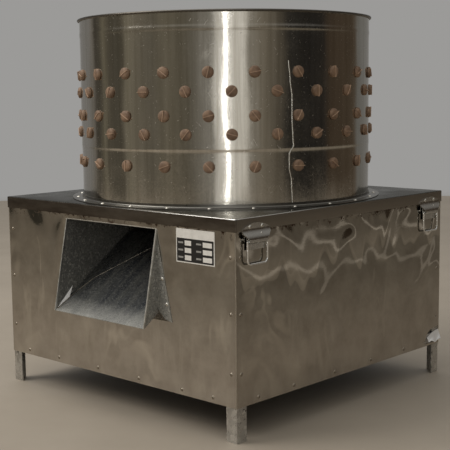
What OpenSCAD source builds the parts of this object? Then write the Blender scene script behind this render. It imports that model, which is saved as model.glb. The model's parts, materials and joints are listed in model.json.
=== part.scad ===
// Drum poultry plucker: a square stainless cabinet on angle legs, with a fingered
// drum on its lift-off cover, a spinning feather plate, a belt drive and a feather chute.
// Millimetres, +Z up. The origin is on the floor, under the drum's axis. The chute faces -Y.

/* [Cabinet] */
// Width of the cover between the drum's wall and the skirt
cover_margin = 27.5; // [25:0.5:60]
// Height of the cover's top face above the floor
cover_z = 396.5; // [390:0.5:410]
// Depth of the cover's turned-down skirt
skirt_h = 23; // [16:1:26]
// Thickness of the cabinet's sheet steel
sheet_t = 1.2; // [0.8:0.1:2]
// Gap between the skirt and the panels inside it
skirt_gap = 0.8; // [0.4:0.1:1.5]
// Height of the panels' lower edge above the floor
panel_z = 64; // [50:1:72]
// Flange width of the angle legs and rails
angle_w = 25; // [20:1:30]
// Thickness of the angle legs and rails
angle_t = 3; // [2:0.5:4]

/* [Drum] */
// Outer diameter of the drum
drum_d = 600; // [540:1:700]
// Height of the drum's rim above the floor
drum_top = 760; // [740:1:860]
// Wall thickness of the drum
drum_t = 1.5; // [1:0.1:2]
// Radius of the rolled edge round the drum's mouth
rim_r = 3.5; // [2.5:0.1:5]
// Distance of the upper swaged bead below the rim
upper_bead_drop = 32; // [25:1:60]
// Height of the lower swaged bead, as a share of the drum's height
lower_bead_share = 0.304; // [0.29:0.001:0.32]
// Radius of the bead's outer curve
bead_r = 6; // [4.5:0.1:8]
// How far a bead stands out of the wall
bead_out = 2.6; // [1.8:0.1:3]
// Width of the flange ring round the drum's foot
foot_flange_w = 22; // [15:1:23]
// Rivets round the foot flange
foot_rivets = 24; // [12:1:36]

/* [Fingers] */
// Rubber fingers in each row of the drum
row_count = 22; // [12:1:24]
// Angle of a finger in the first row
row_phase = -3.6; // [-10:0.1:10]
// Height of the first, highest row, as a share of the drum's height
row_1_share = 0.6892; // [0.67:0.0001:0.71]
// Height of the second row, as a share of the drum's height
row_2_share = 0.5928; // [0.58:0.0001:0.61]
// Height of the third row, as a share of the drum's height
row_3_share = 0.4691; // [0.45:0.0001:0.49]
// Height of the fourth row, as a share of the drum's height
row_4_share = 0.3755; // [0.36:0.0001:0.39]
// Height of the fifth, lowest row, as a share of the drum's height
row_5_share = 0.2118; // [0.2:0.0001:0.23]
// Length of a finger inside the drum
finger_len = 85; // [60:1:90]
// Diameter of a finger at its root
finger_root_d = 19; // [17:0.5:22]
// Diameter of a finger at its tip
finger_tip_d = 12; // [8:0.5:15]
// Diameter of a finger's head, outside the wall
head_d = 22.5; // [20:0.5:24]
// Thickness of a finger's head
head_t = 6; // [3:0.5:8]
// Diameter of a finger's neck, in the wall's hole
neck_d = 16; // [10:0.5:16.5]

/* [Feather plate] */
// Gap between the feather plate and the drum's wall
plate_gap = 13.5; // [8:0.5:30]
// Thickness of the feather plate
plate_t = 4; // [3:0.5:6]
// Height of the feather plate above the cover's top face
plate_lift = 5.5; // [4:0.5:12]
// Place of the inner ring of plate fingers, as a share of the way from hub to edge
ring_1_share = 0.1333; // [0.12:0.0001:0.2]
// Place of the middle ring of plate fingers, as a share of the way from hub to edge
ring_2_share = 0.3556; // [0.3:0.0001:0.4]
// Place of the outer ring of plate fingers, as a share of the way from hub to edge
ring_3_share = 0.5778; // [0.5:0.0001:0.59]
// Diameter of the main shaft
shaft_d = 30; // [25:1:32]

/* [Drive] */
// Outer diameter of the large pulley
big_pulley_d = 260; // [220:1:280]
// Outer diameter of the motor pulley
small_pulley_d = 70; // [60:1:90]
// Distance of the motor shaft from the rear panel's outer face
motor_inset = 110.5; // [108:0.5:125]
// Width of the belt
belt_w = 13; // [10:0.5:15]
// Thickness of the belt
belt_t = 8; // [6:0.5:9]
// Outer diameter of the motor's body
motor_d = 140; // [120:1:146]
// Height of the motor above its bridge
motor_h = 140; // [115:1:144]
// Diameter of the motor shaft
motor_shaft_d = 19; // [14:1:24]

/* [Chute] */
// Width of the chute across its cheeks
chute_w = 260.6; // [200:0.1:300]
// Height of the chute mouth's top edge
chute_top_z = 364; // [340:1:366]
// How far the chute's lip stands out of the front panel
lip_out = 36; // [20:1:50]
// Height of the chute's lip
lip_z = 184; // [172:1:188]
// How far the chute reaches in behind the front panel
chute_in = 162.5; // [150:0.5:172]
// Rise of the chute floor, lip to inner end
chute_rise = 138.5; // [115:0.5:142]
// Thickness of the chute's sheet
chute_t = 1; // [0.8:0.1:1.5]
// Slope of the feather tray, in degrees
tray_slope = 4; // [2:0.5:5]

/* [Handles] */
// Distance of a handle's centre from the end of its side
handle_inset = 51.5; // [48:0.5:120]
// Width of a handle's plate
handle_w = 72; // [66:1:80]
// Height of a handle's top above its pivot
handle_rise = 32; // [30:1:36]
// Width of the ring between the middles of its legs
ring_w = 52; // [46:1:56]
// Drop of the ring from its pivot to the middle of its bar
ring_drop = 40; // [30:1:50]
// Diameter of the ring's wire
wire_d = 4; // [3:0.5:5]
// Height of the ring's pivot below the cover's top face
pivot_drop = 41.5; // [39:0.5:46]
// How far the pivot stands out of the skirt
pivot_out = 4.5; // [4.5:0.5:8]

/* [Switch] */
// Width of the switch box
switch_w = 72; // [60:1:90]
// Height of the switch box
switch_h = 110; // [90:1:120]
// Depth of the switch box
switch_d = 30; // [26:1:40]
// Diameter of a push button
button_d = 22; // [16:1:26]
// How far a button stands out of the box
button_out = 6; // [4:0.5:10]
// Diameter of the cable entry
cable_d = 10; // [7:0.5:12]

/* [Hidden] */
$fn = 64;

// Clearances, shared by the pieces that meet
seat_gap = 0.3;
run_gap = 0.05;
press_gap = 0.02;
cut = 1;

// Planes of the cabinet, from the cover inwards
cover_w = drum_d + 2 * cover_margin;
cover_half = cover_w / 2;
panel_half = cover_half - sheet_t - skirt_gap;
panel_in = panel_half - sheet_t;
frame_top = cover_z - sheet_t - seat_gap;
rail_half = panel_in - angle_w;

// The drum's wall and its hole in the cover
drum_r = drum_d / 2;
drum_in = drum_r - drum_t;
drum_bottom = cover_z - sheet_t;
cover_hole_r = drum_r + seat_gap;
rim_z = drum_top - rim_r;
drum_h = drum_top - cover_z;
upper_bead_z = drum_top - upper_bead_drop;
lower_bead_z = cover_z + lower_bead_share * drum_h;
bead_centre_r = drum_r + bead_out - bead_r;
row_shares = [row_1_share, row_2_share, row_3_share, row_4_share, row_5_share];
rows_z = [for (share = row_shares) cover_z + share * drum_h];
row_step = 360 / row_count;
foot_rivet_r = drum_r + foot_flange_w / 2;

// A finger's groove fits the wall: its flat faces clear the wall's curve
hole_gap = 0.1;
neck_r = neck_d / 2;
curve_rise = pow(head_d / 2, 2) / (2 * drum_in);
drum_groove = drum_t + curve_rise + seat_gap;

// Spinning plate
plate_z = cover_z + plate_lift;
plate_top = plate_z + plate_t;
shaft_r = shaft_d / 2;
plate_r = drum_in - plate_gap;
hub_r = 35;
hub_h = 36;
hub_flange_r = 60;
hub_flange_t = 8;
ring_shares = [ring_1_share, ring_2_share, ring_3_share];
ring_radii = [for (share = ring_shares) hub_flange_r + share * (plate_r - hub_flange_r)];
ring_counts = [6, 10, 14];
nut_r = 22;
nut_h = 12;

// Bridges stand on the bottom rails and carry the bearings and the motor
rail_top = panel_z + angle_w;
bridge_t = 6;
bridge_rise = 77;
bridge_top = rail_top + bridge_rise;
bridge_leg_x = rail_half + 0.7;
bridge_foot_w = 20;
bearing_bridge_w = 160;
motor_bridge_w = 160;

// Bearing housing, just below the hub
hub_clear = 6;
bearing_r = 31;
bearing_h = 16;
housing_r = 44;
hub_z = plate_z - hub_h;
housing_top = hub_z - hub_clear;
housing_flange_r = 75;
housing_flange_t = 10;
housing_shoulder_r = 28;
lower_bearing_z = bridge_top + housing_flange_t;
upper_bearing_z = housing_top - bearing_h - housing_flange_t;

// Belt drive, below the bridges
belt_drop = 37;
belt_z = bridge_top - bridge_t - belt_drop;
belt_centres = panel_half - motor_inset;
groove_depth = 10;
pulley_h = 26;
web_t = 8;
rim_depth = 22;
shaft_bottom = belt_z - pulley_h / 2 - 6;
big_pulley_r = big_pulley_d / 2;
small_pulley_r = small_pulley_d / 2;
big_belt_r = big_pulley_r - groove_depth + seat_gap;
small_belt_r = small_pulley_r - groove_depth + seat_gap;
motor_shaft_r = motor_shaft_d / 2;
motor_r = motor_d / 2;
motor_flange_r = motor_r + 5;
motor_flange_t = 10;
spigot_r = 40;
bolt_r = 5;
bolt_ring_r = 60;
motor_bolt_r = 65;

// Chute and tray
lip_y = -panel_half - lip_out;
chute_in_y = -panel_half + chute_in;
chute_in_z = lip_z + chute_rise;
chute_half = chute_w / 2;
floor_rise = chute_rise / (lip_out + chute_in);
tray_y = chute_in_y + seat_gap;
tray_half = panel_in - angle_t - 0.5;
tray_tan = tan(tray_slope);
tray_wall_h = 24;
tray_hole_r = housing_r + 0.5;
flange_foot_x = chute_half + 37.7;
flange_foot_z = lip_z + 11;
flange_head_z = chute_top_z - 12;
flange_w = flange_foot_x - chute_half;
flange_h = flange_head_z - flange_foot_z;
hood_rivet_x = [for (share = [0.345, 0.637]) chute_half + share * flange_w];
hood_rivet_z = [for (share = [0.497, 0.204]) flange_foot_z + share * flange_h];

// Small fixings
screw_shares = [-0.8233, -0.5192, -0.1413, 0.2243, 0.5837, 0.8233];
screw_rise = 10;
screw_r = 3.6;
screw_h = 2;
shank_r = 2;
plate_w = 95;
plate_h = 61;
data_plate_t = 0.8;
data_plate_inset = 96;
data_plate_x = panel_half - data_plate_inset;
data_plate_top = cover_z - skirt_h - 3;

// Handles
handle_y = cover_half - handle_inset;
pivot_z = cover_z - pivot_drop;
wire_r = wire_d / 2;
knuckle_r = 4.2;
knuckle_half = ring_w / 2 - wire_r - 0.4;
pin_len = 12;
apron_t = 2;
apron_x = pivot_out + 2;
arch_r = 66;
handle_top = pivot_z + handle_rise;
roof_z = pivot_z + 7;
roof_back_z = pivot_z + 17;
tongue_t = 1.5;
tongue_z = pivot_z - 15;
handle_rivet_y = 16;
handle_rivet_z = handle_top - 7;

// Switch
switch_inset = 175.5;
switch_x = panel_half - switch_inset;
switch_z = 305;
switch_wall = 2.5;
button_gap = 0.3;
button_rise = 24;
button_flange_t = 2;
gland_h = 20;

// Colours
stainless = [0.62, 0.60, 0.56];
zinc = [0.66, 0.66, 0.64];
rubber = [0.47, 0.34, 0.26];
steel = [0.35, 0.35, 0.36];
motor_paint = [0.16, 0.27, 0.40];

// Cabinet frame

// An angle leg for the corner in the +X, +Y quarter
module angle_leg() {
  color(zinc) linear_extrude(frame_top) union() {
    translate([panel_in - angle_w, panel_in - angle_t]) square([angle_w, angle_t]);
    translate([panel_in - angle_t, panel_in - angle_w]) square([angle_t, angle_w]);
  }
}

// An angle rail along the +X side, its level flange at the top
module angle_rail(top) {
  color(zinc) translate([panel_in, 0, top]) rotate([90, 0, 0])
    linear_extrude(2 * rail_half, center = true) union() {
      translate([-angle_t, -angle_w]) square([angle_t, angle_w]);
      translate([-angle_w, -angle_t]) square([angle_w, angle_t]);
    }
}

// Screws in a panel: [across, height], over the bottom rail and up the two legs
function panel_screw_places() = [
  for (share = screw_shares) [share * panel_half, panel_z + screw_rise],
  for (side = [-1, 1], height = [0.18, 0.5, 0.8]) [side * (panel_in - 11),
    panel_z + height * (frame_top - panel_z)]
];

// A plain panel for the +X side, drilled for its screws
module side_panel(across) {
  color(stainless) difference() {
    translate([panel_in, -across, panel_z]) cube([sheet_t, 2 * across, frame_top - panel_z]);
    for (place = panel_screw_places())
      translate([panel_in - cut, place[0], place[1]]) rotate([0, 90, 0])
        cylinder(r = shank_r + hole_gap, h = 4);
  }
}

module right_panel() {
  // The rear lower corner is torn away, down to a thin strip over the bottom rail
  corner = panel_in;
  strip = 5;
  color(stainless) difference() {
    side_panel(panel_in);
    translate([panel_in - cut, 0, panel_z]) rotate([90, 0, 90]) linear_extrude(4)
      polygon([[corner - 54, strip], [corner - 47, 24], [corner - 34, 33], [corner + cut, 40],
               [corner + cut, strip]]);
  }
}

module front_panel() {
  mouth_z = lip_z + lip_out * floor_rise - 2 * chute_t;
  color(stainless) difference() {
    rotate([0, 0, -90]) side_panel(panel_half);
    translate([-chute_half - seat_gap, -panel_half - cut, mouth_z])
      cube([chute_w + 2 * seat_gap, sheet_t + 2 * cut, chute_top_z - mouth_z]);
    for (side = [-1, 1], i = [0, 1])
      translate([side * hood_rivet_x[i], -panel_half - cut, hood_rivet_z[i]])
        rotate([-90, 0, 0]) cylinder(r = shank_r + hole_gap, h = 4);
  }
}

// A domed fixing whose shank points along +Z from its head
module domed_fixing(head_r, head_h, shank) {
  dome = (head_r * head_r + head_h * head_h) / (2 * head_h);
  rotate_extrude() union() {
    intersection() {
      translate([0, dome - head_h]) circle(dome);
      translate([0, -head_h]) square([head_r, head_h]);
    }
    square([shank_r, shank]);
  }
}

module panel_screws() {
  color(zinc) for (turn = [0, 90, 180, 270]) rotate([0, 0, turn])
    for (place = panel_screw_places())
      if (turn != 0 || place[0] < panel_in - 60 || place[1] > panel_z + 60)
        translate([panel_half, place[0], place[1]]) rotate([0, -90, 0])
          domed_fixing(screw_r, screw_h, sheet_t - 0.1);
}

// Feather chute and tray

// Height of the chute floor and of the tray's upper face at a given depth
function floor_z(y) = lip_z + (y - lip_y) * floor_rise;
function tray_z(y) = chute_in_z + (y - chute_in_y) * tray_tan;

module chute_cheek() {
  rotate([90, 0, 90]) linear_extrude(chute_t)
    polygon([[lip_y, lip_z], [chute_in_y, chute_in_z], [chute_in_y, chute_top_z - seat_gap],
             [-panel_half, chute_top_z - seat_gap]]);
}

// The flap of a cheek that lies on the front panel, with its notch at the fold
module chute_flange() {
  translate([0, -panel_half, 0]) rotate([90, 0, 0]) linear_extrude(chute_t)
    polygon([[chute_half - chute_t, flange_head_z], [chute_half, flange_head_z],
             [flange_foot_x, flange_foot_z], [chute_half + 19, flange_foot_z + 4],
             [chute_half + 2, flange_foot_z + 20], [chute_half - chute_t, flange_foot_z + 30]]);
}

module chute_hood() {
  color(zinc) difference() {
    union() {
      rotate([90, 0, 90]) linear_extrude(chute_w, center = true)
        polygon([[lip_y, lip_z], [chute_in_y, chute_in_z], [chute_in_y, chute_in_z - chute_t],
                 [lip_y, lip_z - chute_t]]);
      for (side = [0, 1]) mirror([side, 0, 0]) {
        translate([chute_half - chute_t, 0, 0]) chute_cheek();
        chute_flange();
      }
    }
    for (side = [-1, 1], i = [0, 1])
      translate([side * hood_rivet_x[i], -panel_half - 4, hood_rivet_z[i]])
        rotate([-90, 0, 0]) cylinder(r = shank_r + hole_gap, h = 8);
  }
}

module chute_rivets() {
  color(zinc) for (side = [-1, 1], i = [0, 1])
    translate([side * hood_rivet_x[i], -panel_half - chute_t, hood_rivet_z[i]])
      rotate([-90, 0, 0]) domed_fixing(screw_r, screw_h, chute_t + sheet_t - 0.1);
}

// One wall of the tray along the +X side, following the slope of the floor
module tray_side_wall() {
  translate([tray_half - sheet_t, 0, 0]) rotate([90, 0, 90]) linear_extrude(sheet_t)
    polygon([[-tray_half, tray_z(-tray_half) + seat_gap], [tray_half, tray_z(tray_half) + seat_gap],
             [tray_half, tray_z(tray_half) + tray_wall_h], [-tray_half, tray_z(-tray_half) + tray_wall_h]]);
}

// Notch in which the chute ends
module tray_notch() {
  translate([-chute_half - seat_gap, -cover_half, 0])
    cube([chute_w + 2 * seat_gap, cover_half + tray_y, cover_z]);
}

module feather_tray() {
  color(zinc) difference() {
    rotate([90, 0, 90]) linear_extrude(2 * tray_half, center = true)
      polygon([[-tray_half, tray_z(-tray_half)], [tray_half, tray_z(tray_half)],
               [tray_half, tray_z(tray_half) - sheet_t], [-tray_half, tray_z(-tray_half) - sheet_t]]);
    cylinder(r = tray_hole_r, h = cover_z);
    tray_notch();
  }
}

// Walls that stand on the tray's edges
module tray_walls() {
  color(zinc) {
    tray_side_wall();
    mirror([1, 0, 0]) tray_side_wall();
    wall_len = 2 * (tray_half - sheet_t - seat_gap);
    translate([-wall_len / 2, tray_half - sheet_t, tray_z(tray_half) + seat_gap])
      cube([wall_len, sheet_t, tray_wall_h]);
    difference() {
      translate([-wall_len / 2, -tray_half, tray_z(-tray_half + sheet_t) + seat_gap])
        cube([wall_len, sheet_t, tray_wall_h]);
      tray_notch();
    }
  }
}

module data_plate() {
  color("gainsboro")
    translate([data_plate_x - plate_w / 2, -panel_half - data_plate_t, data_plate_top - plate_h])
    cube([plate_w, data_plate_t, plate_h]);
}

// Bearings and bridges

// A bent strap that stands on the two side rails, bored for a shaft and four bolts
module strap_bridge(w, bore_r, holes_r) {
  outer = bridge_leg_x + bridge_foot_w;
  color(steel) difference() {
    rotate([90, 0, 0]) linear_extrude(w, center = true) union() {
      translate([-bridge_leg_x - bridge_t, bridge_top - bridge_t])
        square([2 * (bridge_leg_x + bridge_t), bridge_t]);
      for (side = [0, 1]) mirror([side, 0]) {
        translate([bridge_leg_x, rail_top]) square([bridge_t, bridge_top - rail_top]);
        translate([bridge_leg_x, rail_top]) square([outer - bridge_leg_x, bridge_t]);
      }
    }
    translate([0, 0, bridge_top - 2 * bridge_t]) cylinder(r = bore_r, h = 3 * bridge_t);
    bolt_holes(holes_r);
  }
}

module bolt_holes(holes_r) {
  for (turn = [45:90:315]) rotate([0, 0, turn])
    translate([holes_r, 0, bridge_top - 2 * bridge_t]) cylinder(r = bolt_r + hole_gap, h = 40);
}

module bearing_housing() {
  color(steel) difference() {
    union() {
      translate([0, 0, bridge_top]) cylinder(r = housing_flange_r, h = housing_flange_t);
      translate([0, 0, bridge_top]) cylinder(r = housing_r, h = housing_top - bridge_top);
    }
    translate([0, 0, bridge_top - cut]) cylinder(r = housing_shoulder_r, h = housing_top);
    translate([0, 0, bridge_top - cut])
      cylinder(r = bearing_r + press_gap, h = lower_bearing_z + bearing_h - bridge_top + cut);
    translate([0, 0, upper_bearing_z]) cylinder(r = bearing_r + press_gap, h = housing_top);
    bolt_holes(bolt_ring_r);
  }
}

module ball_bearing(z) {
  color("silver") translate([0, 0, z]) difference() {
    cylinder(r = bearing_r, h = bearing_h);
    translate([0, 0, -cut]) cylinder(r = shaft_r + run_gap, h = bearing_h + 2 * cut);
  }
}

// A hexagon bolt that holds a flange down on a bridge
module flange_bolt(flange_t) {
  translate([0, 0, bridge_top + flange_t]) cylinder(r = 9, h = 6.5, $fn = 6);
  translate([0, 0, bridge_top - bridge_t - 4]) cylinder(r = bolt_r, h = flange_t + bridge_t + 5);
}

module drive_bolts() {
  color("silver") for (turn = [45:90:315]) {
    rotate([0, 0, turn]) translate([bolt_ring_r, 0, 0]) flange_bolt(housing_flange_t);
    translate([0, belt_centres, 0]) rotate([0, 0, turn])
      translate([motor_bolt_r, 0, 0]) flange_bolt(motor_flange_t);
  }
}

// Motor and belt

module motor_body() {
  fins = 28;
  body_z = bridge_top + motor_flange_t;
  fan_h = 18;
  color(motor_paint) translate([0, belt_centres, 0]) difference() {
    union() {
      difference() {
        translate([0, 0, bridge_top]) cylinder(r = motor_flange_r + 4, h = motor_flange_t);
        bolt_holes(motor_bolt_r);
      }
      translate([0, 0, bridge_top - bridge_t]) cylinder(r = spigot_r - hole_gap, h = bridge_t + cut);
      // the body's foot is drawn in, clear of the flange bolts
      translate([0, 0, body_z - cut]) cylinder(r = motor_bolt_r - 11, h = 12 + cut);
      translate([0, 0, body_z + 10]) linear_extrude(motor_h - motor_flange_t - fan_h - 10) union() {
        circle(motor_r - 6);
        for (i = [0:fins - 1])
          rotate([0, 0, i * 360 / fins]) translate([motor_r - 10, -1.2]) square([9, 2.4]);
      }
      translate([0, 0, bridge_top + motor_h - fan_h]) cylinder(r = motor_r, h = fan_h);
    }
    translate([0, 0, bridge_top - bridge_t - cut]) cylinder(r = motor_shaft_r + run_gap, h = 60);
  }
}

module terminal_box() {
  color(motor_paint) translate([motor_r - 1 + seat_gap, belt_centres - 28, bridge_top + 40])
    cube([35, 56, 52]);
}

// The outline of a loop round both pulleys, grown by a given amount
module belt_outline(grow) {
  big = big_belt_r + grow;
  small = small_belt_r + grow;
  lean = asin((big - small) / belt_centres);
  circle(big);
  translate([0, belt_centres]) circle(small);
  polygon([for (side = [-1, 1]) [side * big * cos(lean), big * sin(lean)],
           for (side = [1, -1]) [side * small * cos(lean), belt_centres + small * sin(lean)]]);
}

module drive_belt() {
  color([0.08, 0.08, 0.08]) translate([0, 0, belt_z]) linear_extrude(belt_w, center = true) difference() {
    belt_outline(belt_t);
    belt_outline(0);
  }
}

// A grooved pulley about Z, with its middle at the belt's height
module pulley(outer_r, bore_r, hub) {
  groove_w = belt_w + 2 * seat_gap;
  translate([0, 0, belt_z]) rotate_extrude() difference() {
    union() {
      translate([outer_r - rim_depth, -pulley_h / 2]) square([rim_depth, pulley_h]);
      translate([bore_r, -web_t / 2]) square([outer_r - rim_depth, web_t]);
      translate([bore_r, -pulley_h / 2]) square([hub - bore_r, pulley_h]);
    }
    translate([outer_r - groove_depth, -groove_w / 2]) square([groove_depth + cut, groove_w]);
    translate([-cut, -pulley_h]) square([bore_r + cut, 2 * pulley_h]);
    translate([outer_r, -pulley_h]) square([outer_r, 2 * pulley_h]);
  }
}

module large_pulley() {
  color(steel) pulley(big_pulley_r, shaft_r + press_gap, 28);
}

module motor_pulley() {
  color(steel) translate([0, belt_centres, 0]) pulley(small_pulley_r, motor_shaft_r + press_gap, 20);
}

module motor_shaft() {
  color("silver") translate([0, belt_centres, shaft_bottom])
    cylinder(r = motor_shaft_r, h = bridge_top + 40 - shaft_bottom);
}

// Rotor

module main_shaft() {
  color("silver") translate([0, 0, shaft_bottom])
    cylinder(r = shaft_r, h = plate_top + nut_h - shaft_bottom);
}

module rotor_hub() {
  color(steel) rotate_extrude() union() {
    translate([shaft_r + press_gap, hub_z]) square([hub_r - shaft_r, plate_z - hub_z]);
    translate([shaft_r + press_gap, plate_z - hub_flange_t]) square([hub_flange_r - shaft_r, hub_flange_t]);
  }
}

// Places every plate finger at its ring and angle
module at_plate_fingers() {
  for (ring = [0:len(ring_radii) - 1], i = [0:ring_counts[ring] - 1])
    rotate([0, 0, (i + ring / 2) * 360 / ring_counts[ring]])
      translate([ring_radii[ring], 0, plate_z]) children();
}

module feather_plate() {
  color(stainless) difference() {
    translate([0, 0, plate_z]) cylinder(r = plate_r, h = plate_t);
    translate([0, 0, plate_z - cut]) cylinder(r = shaft_r + press_gap, h = plate_t + 2 * cut);
    at_plate_fingers() translate([0, 0, -cut]) cylinder(r = neck_r + hole_gap, h = plate_t + 2 * cut);
  }
}

module cap_nut() {
  color("silver") translate([0, 0, plate_top]) rotate_extrude() difference() {
    union() {
      square([nut_r, nut_h]);
      intersection() {
        translate([0, nut_h]) circle(nut_r);
        square([nut_r, nut_h + nut_r]);
      }
    }
    translate([-cut, -cut]) square([shaft_r + press_gap + cut, nut_h + cut + seat_gap]);
  }
}

// Rubber fingers

// One finger along +Z: its head below zero, its neck through a wall, its body above
module plucker_finger(groove) {
  root_r = finger_root_d / 2;
  tip_r = finger_tip_d / 2;
  rotate_extrude() polygon([
    [0, -head_t], [head_d / 2 - 3, -head_t + 0.4], [head_d / 2 - 0.8, -head_t + 1.6],
    [head_d / 2, -head_t + 3], [head_d / 2, -seat_gap / 2], [neck_r, -seat_gap / 2],
    [neck_r, groove], [root_r, groove], [root_r, groove + 9], [root_r - 1, groove + 11],
    [tip_r, finger_len - 5], [tip_r - 1.5, finger_len - 1.5], [tip_r - 4, finger_len],
    [0, finger_len]]);
}

// Places the fingers of a drum row; odd rows sit between the fingers of even ones
module at_row(row) {
  for (i = [0:row_count - 1])
    translate([0, 0, rows_z[row]]) rotate([0, 0, row_phase + (i + (row % 2) / 2) * row_step])
      translate([drum_r, 0, 0]) rotate([0, -90, 0]) children();
}

module drum_fingers(row) {
  color(rubber) at_row(row) plucker_finger(drum_groove);
}

module plate_fingers() {
  color(rubber) at_plate_fingers() plucker_finger(plate_t + seat_gap);
}

// Drum and cover

module bead_profile(z) {
  translate([bead_centre_r, z]) intersection() {
    circle(bead_r);
    translate([drum_in - bead_centre_r, -bead_r]) square([2 * bead_r, 2 * bead_r]);
  }
}

module drum_shell() {
  color(stainless) difference() {
    rotate_extrude($fn = 180) difference() {
      union() {
        translate([drum_in, drum_bottom]) square([drum_t, rim_z - drum_bottom]);
        translate([drum_r + rim_r - 0.5, rim_z]) circle(rim_r);
        for (z = [upper_bead_z, lower_bead_z]) bead_profile(z);
      }
      for (z = [upper_bead_z, lower_bead_z]) translate([bead_centre_r, z]) circle(bead_r - drum_t);
    }
    for (row = [0:len(rows_z) - 1]) at_row(row)
      translate([0, 0, -5]) cylinder(r = neck_r + hole_gap, h = 12);
  }
}

module at_foot_rivets() {
  for (i = [0:foot_rivets - 1]) rotate([0, 0, (i + 0.5) * 360 / foot_rivets])
    translate([foot_rivet_r, 0, cover_z]) children();
}

module drum_foot_ring() {
  color(stainless) difference() {
    translate([0, 0, cover_z]) rotate_extrude($fn = 180) union() {
      translate([cover_hole_r, 0]) square([foot_flange_w - seat_gap, drum_t]);
      translate([cover_hole_r, 0]) square([drum_t, 8]);
    }
    at_foot_rivets() translate([0, 0, -5]) cylinder(r = shank_r + hole_gap, h = 10);
  }
}

// Places the four handles, each with +X out of its side
module at_handle(front, right) {
  translate([(right ? 1 : -1) * cover_half, (front ? -1 : 1) * handle_y, 0])
    rotate([0, 0, right ? 0 : 180]) children();
}

module at_all_handles() {
  for (front = [true, false], right = [true, false]) at_handle(front, right) children();
}

module at_handle_rivets() {
  for (side = [-1, 1]) translate([0, side * handle_rivet_y, handle_rivet_z]) rotate([0, -90, 0]) children();
}

module cover_plate() {
  color(stainless) difference() {
    translate([-cover_half, -cover_half, cover_z - skirt_h]) cube([cover_w, cover_w, skirt_h]);
    inner = cover_w - 2 * sheet_t;
    translate([-inner / 2, -inner / 2, cover_z - skirt_h - cut])
      cube([inner, inner, skirt_h - sheet_t + cut]);
    translate([0, 0, cover_z - 5]) cylinder(r = cover_hole_r, h = 10);
    at_foot_rivets() translate([0, 0, -5]) cylinder(r = shank_r + hole_gap, h = 10);
    at_all_handles() at_handle_rivets() translate([0, 0, -5]) cylinder(r = shank_r + hole_gap, h = 10);
  }
}

module cover_rivets() {
  color(zinc) {
    at_foot_rivets() translate([0, 0, drum_t]) rotate([180, 0, 0])
      domed_fixing(screw_r, screw_h, drum_t + sheet_t - 0.1);
    at_all_handles() translate([apron_t, 0, 0]) at_handle_rivets()
      domed_fixing(screw_r, screw_h, apron_t + sheet_t - 0.1);
  }
}

// Handles

module handle_plate() {
  color("silver") difference() {
    union() {
      // arched flange on the skirt
      rotate([90, 0, 90]) linear_extrude(apron_t) intersection() {
        translate([-handle_w / 2, roof_back_z - 4]) square([handle_w, handle_rise]);
        translate([0, handle_top - arch_r]) circle(arch_r);
      }
      // sloping roof over the pivot
      rotate([90, 0, 0]) linear_extrude(handle_w, center = true)
        polygon([[0, roof_back_z - 4], [0, roof_back_z], [apron_t, roof_back_z],
                 [apron_x + apron_t, roof_z], [apron_x + apron_t, roof_z - 2], [apron_x, roof_z - 2]]);
      // apron down to the knuckle
      translate([apron_x, -knuckle_half, pivot_z]) cube([apron_t, 2 * knuckle_half, roof_z - pivot_z]);
      translate([pivot_out, 0, pivot_z]) rotate([90, 0, 0])
        cylinder(r = knuckle_r, h = 2 * knuckle_half, center = true);
      // tongue behind the ring
      translate([0, -knuckle_half, tongue_z])
        cube([tongue_t, 2 * knuckle_half, roof_back_z - 2 - tongue_z]);
      // pressed dimple
      translate([apron_x / 2 + 1.2, 11, (roof_z + roof_back_z) / 2]) sphere(2.6);
    }
    translate([pivot_out, 0, pivot_z]) rotate([90, 0, 0])
      cylinder(r = wire_r + run_gap, h = ring_w, center = true);
    at_handle_rivets() translate([0, 0, -8]) cylinder(r = shank_r + hole_gap, h = 16);
  }
}

// The ring: two pins in the knuckle, two legs and a bar, with bent corners
module handle_ring() {
  bend = 8;
  leg_y = ring_w / 2;
  color("silver") translate([pivot_out, 0, pivot_z]) union() {
    for (side = [0, 1]) mirror([0, side, 0]) {
      translate([0, leg_y, 0]) rotate([90, 0, 0]) cylinder(r = wire_r, h = pin_len);
      translate([0, leg_y, 0]) sphere(wire_r);
      translate([0, leg_y, -(ring_drop - bend)]) cylinder(r = wire_r, h = ring_drop - bend);
      translate([0, leg_y - bend, -(ring_drop - bend)]) rotate([0, 90, 0]) rotate_extrude(angle = 90)
        translate([bend, 0]) circle(wire_r);
    }
    translate([0, 0, -ring_drop]) rotate([90, 0, 0])
      cylinder(r = wire_r, h = 2 * (leg_y - bend), center = true);
  }
}

// Switch on the rear panel

module switch_box() {
  color([0.2, 0.2, 0.21]) difference() {
    translate([switch_x - switch_w / 2, panel_half, switch_z - switch_h / 2])
      cube([switch_w, switch_d, switch_h]);
    translate([switch_x, panel_half - cut, switch_z]) rotate([-90, 0, 0])
      linear_extrude(switch_d - switch_wall + cut)
        square([switch_w - 2 * switch_wall, switch_h - 2 * switch_wall], center = true);
    for (side = [-1, 1]) translate([switch_x, panel_half, switch_z + side * button_rise])
      rotate([-90, 0, 0]) cylinder(r = button_d / 2 + button_gap, h = 2 * switch_d);
    translate([switch_x, panel_half + switch_d / 2, switch_z - switch_h / 2 - cut])
      cylinder(r = cable_d / 2 + 2, h = 4 * switch_wall);
  }
}

// A push button with a collar behind the box's face
module push_button(side) {
  face_y = panel_half + switch_d;
  translate([switch_x, face_y, switch_z + side * button_rise]) rotate([90, 0, 0]) union() {
    translate([0, 0, -button_out])
      cylinder(r = button_d / 2, h = button_out + switch_wall + button_flange_t + 1);
    translate([0, 0, switch_wall + seat_gap]) cylinder(r = button_d / 2 + 2, h = button_flange_t);
  }
}

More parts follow.
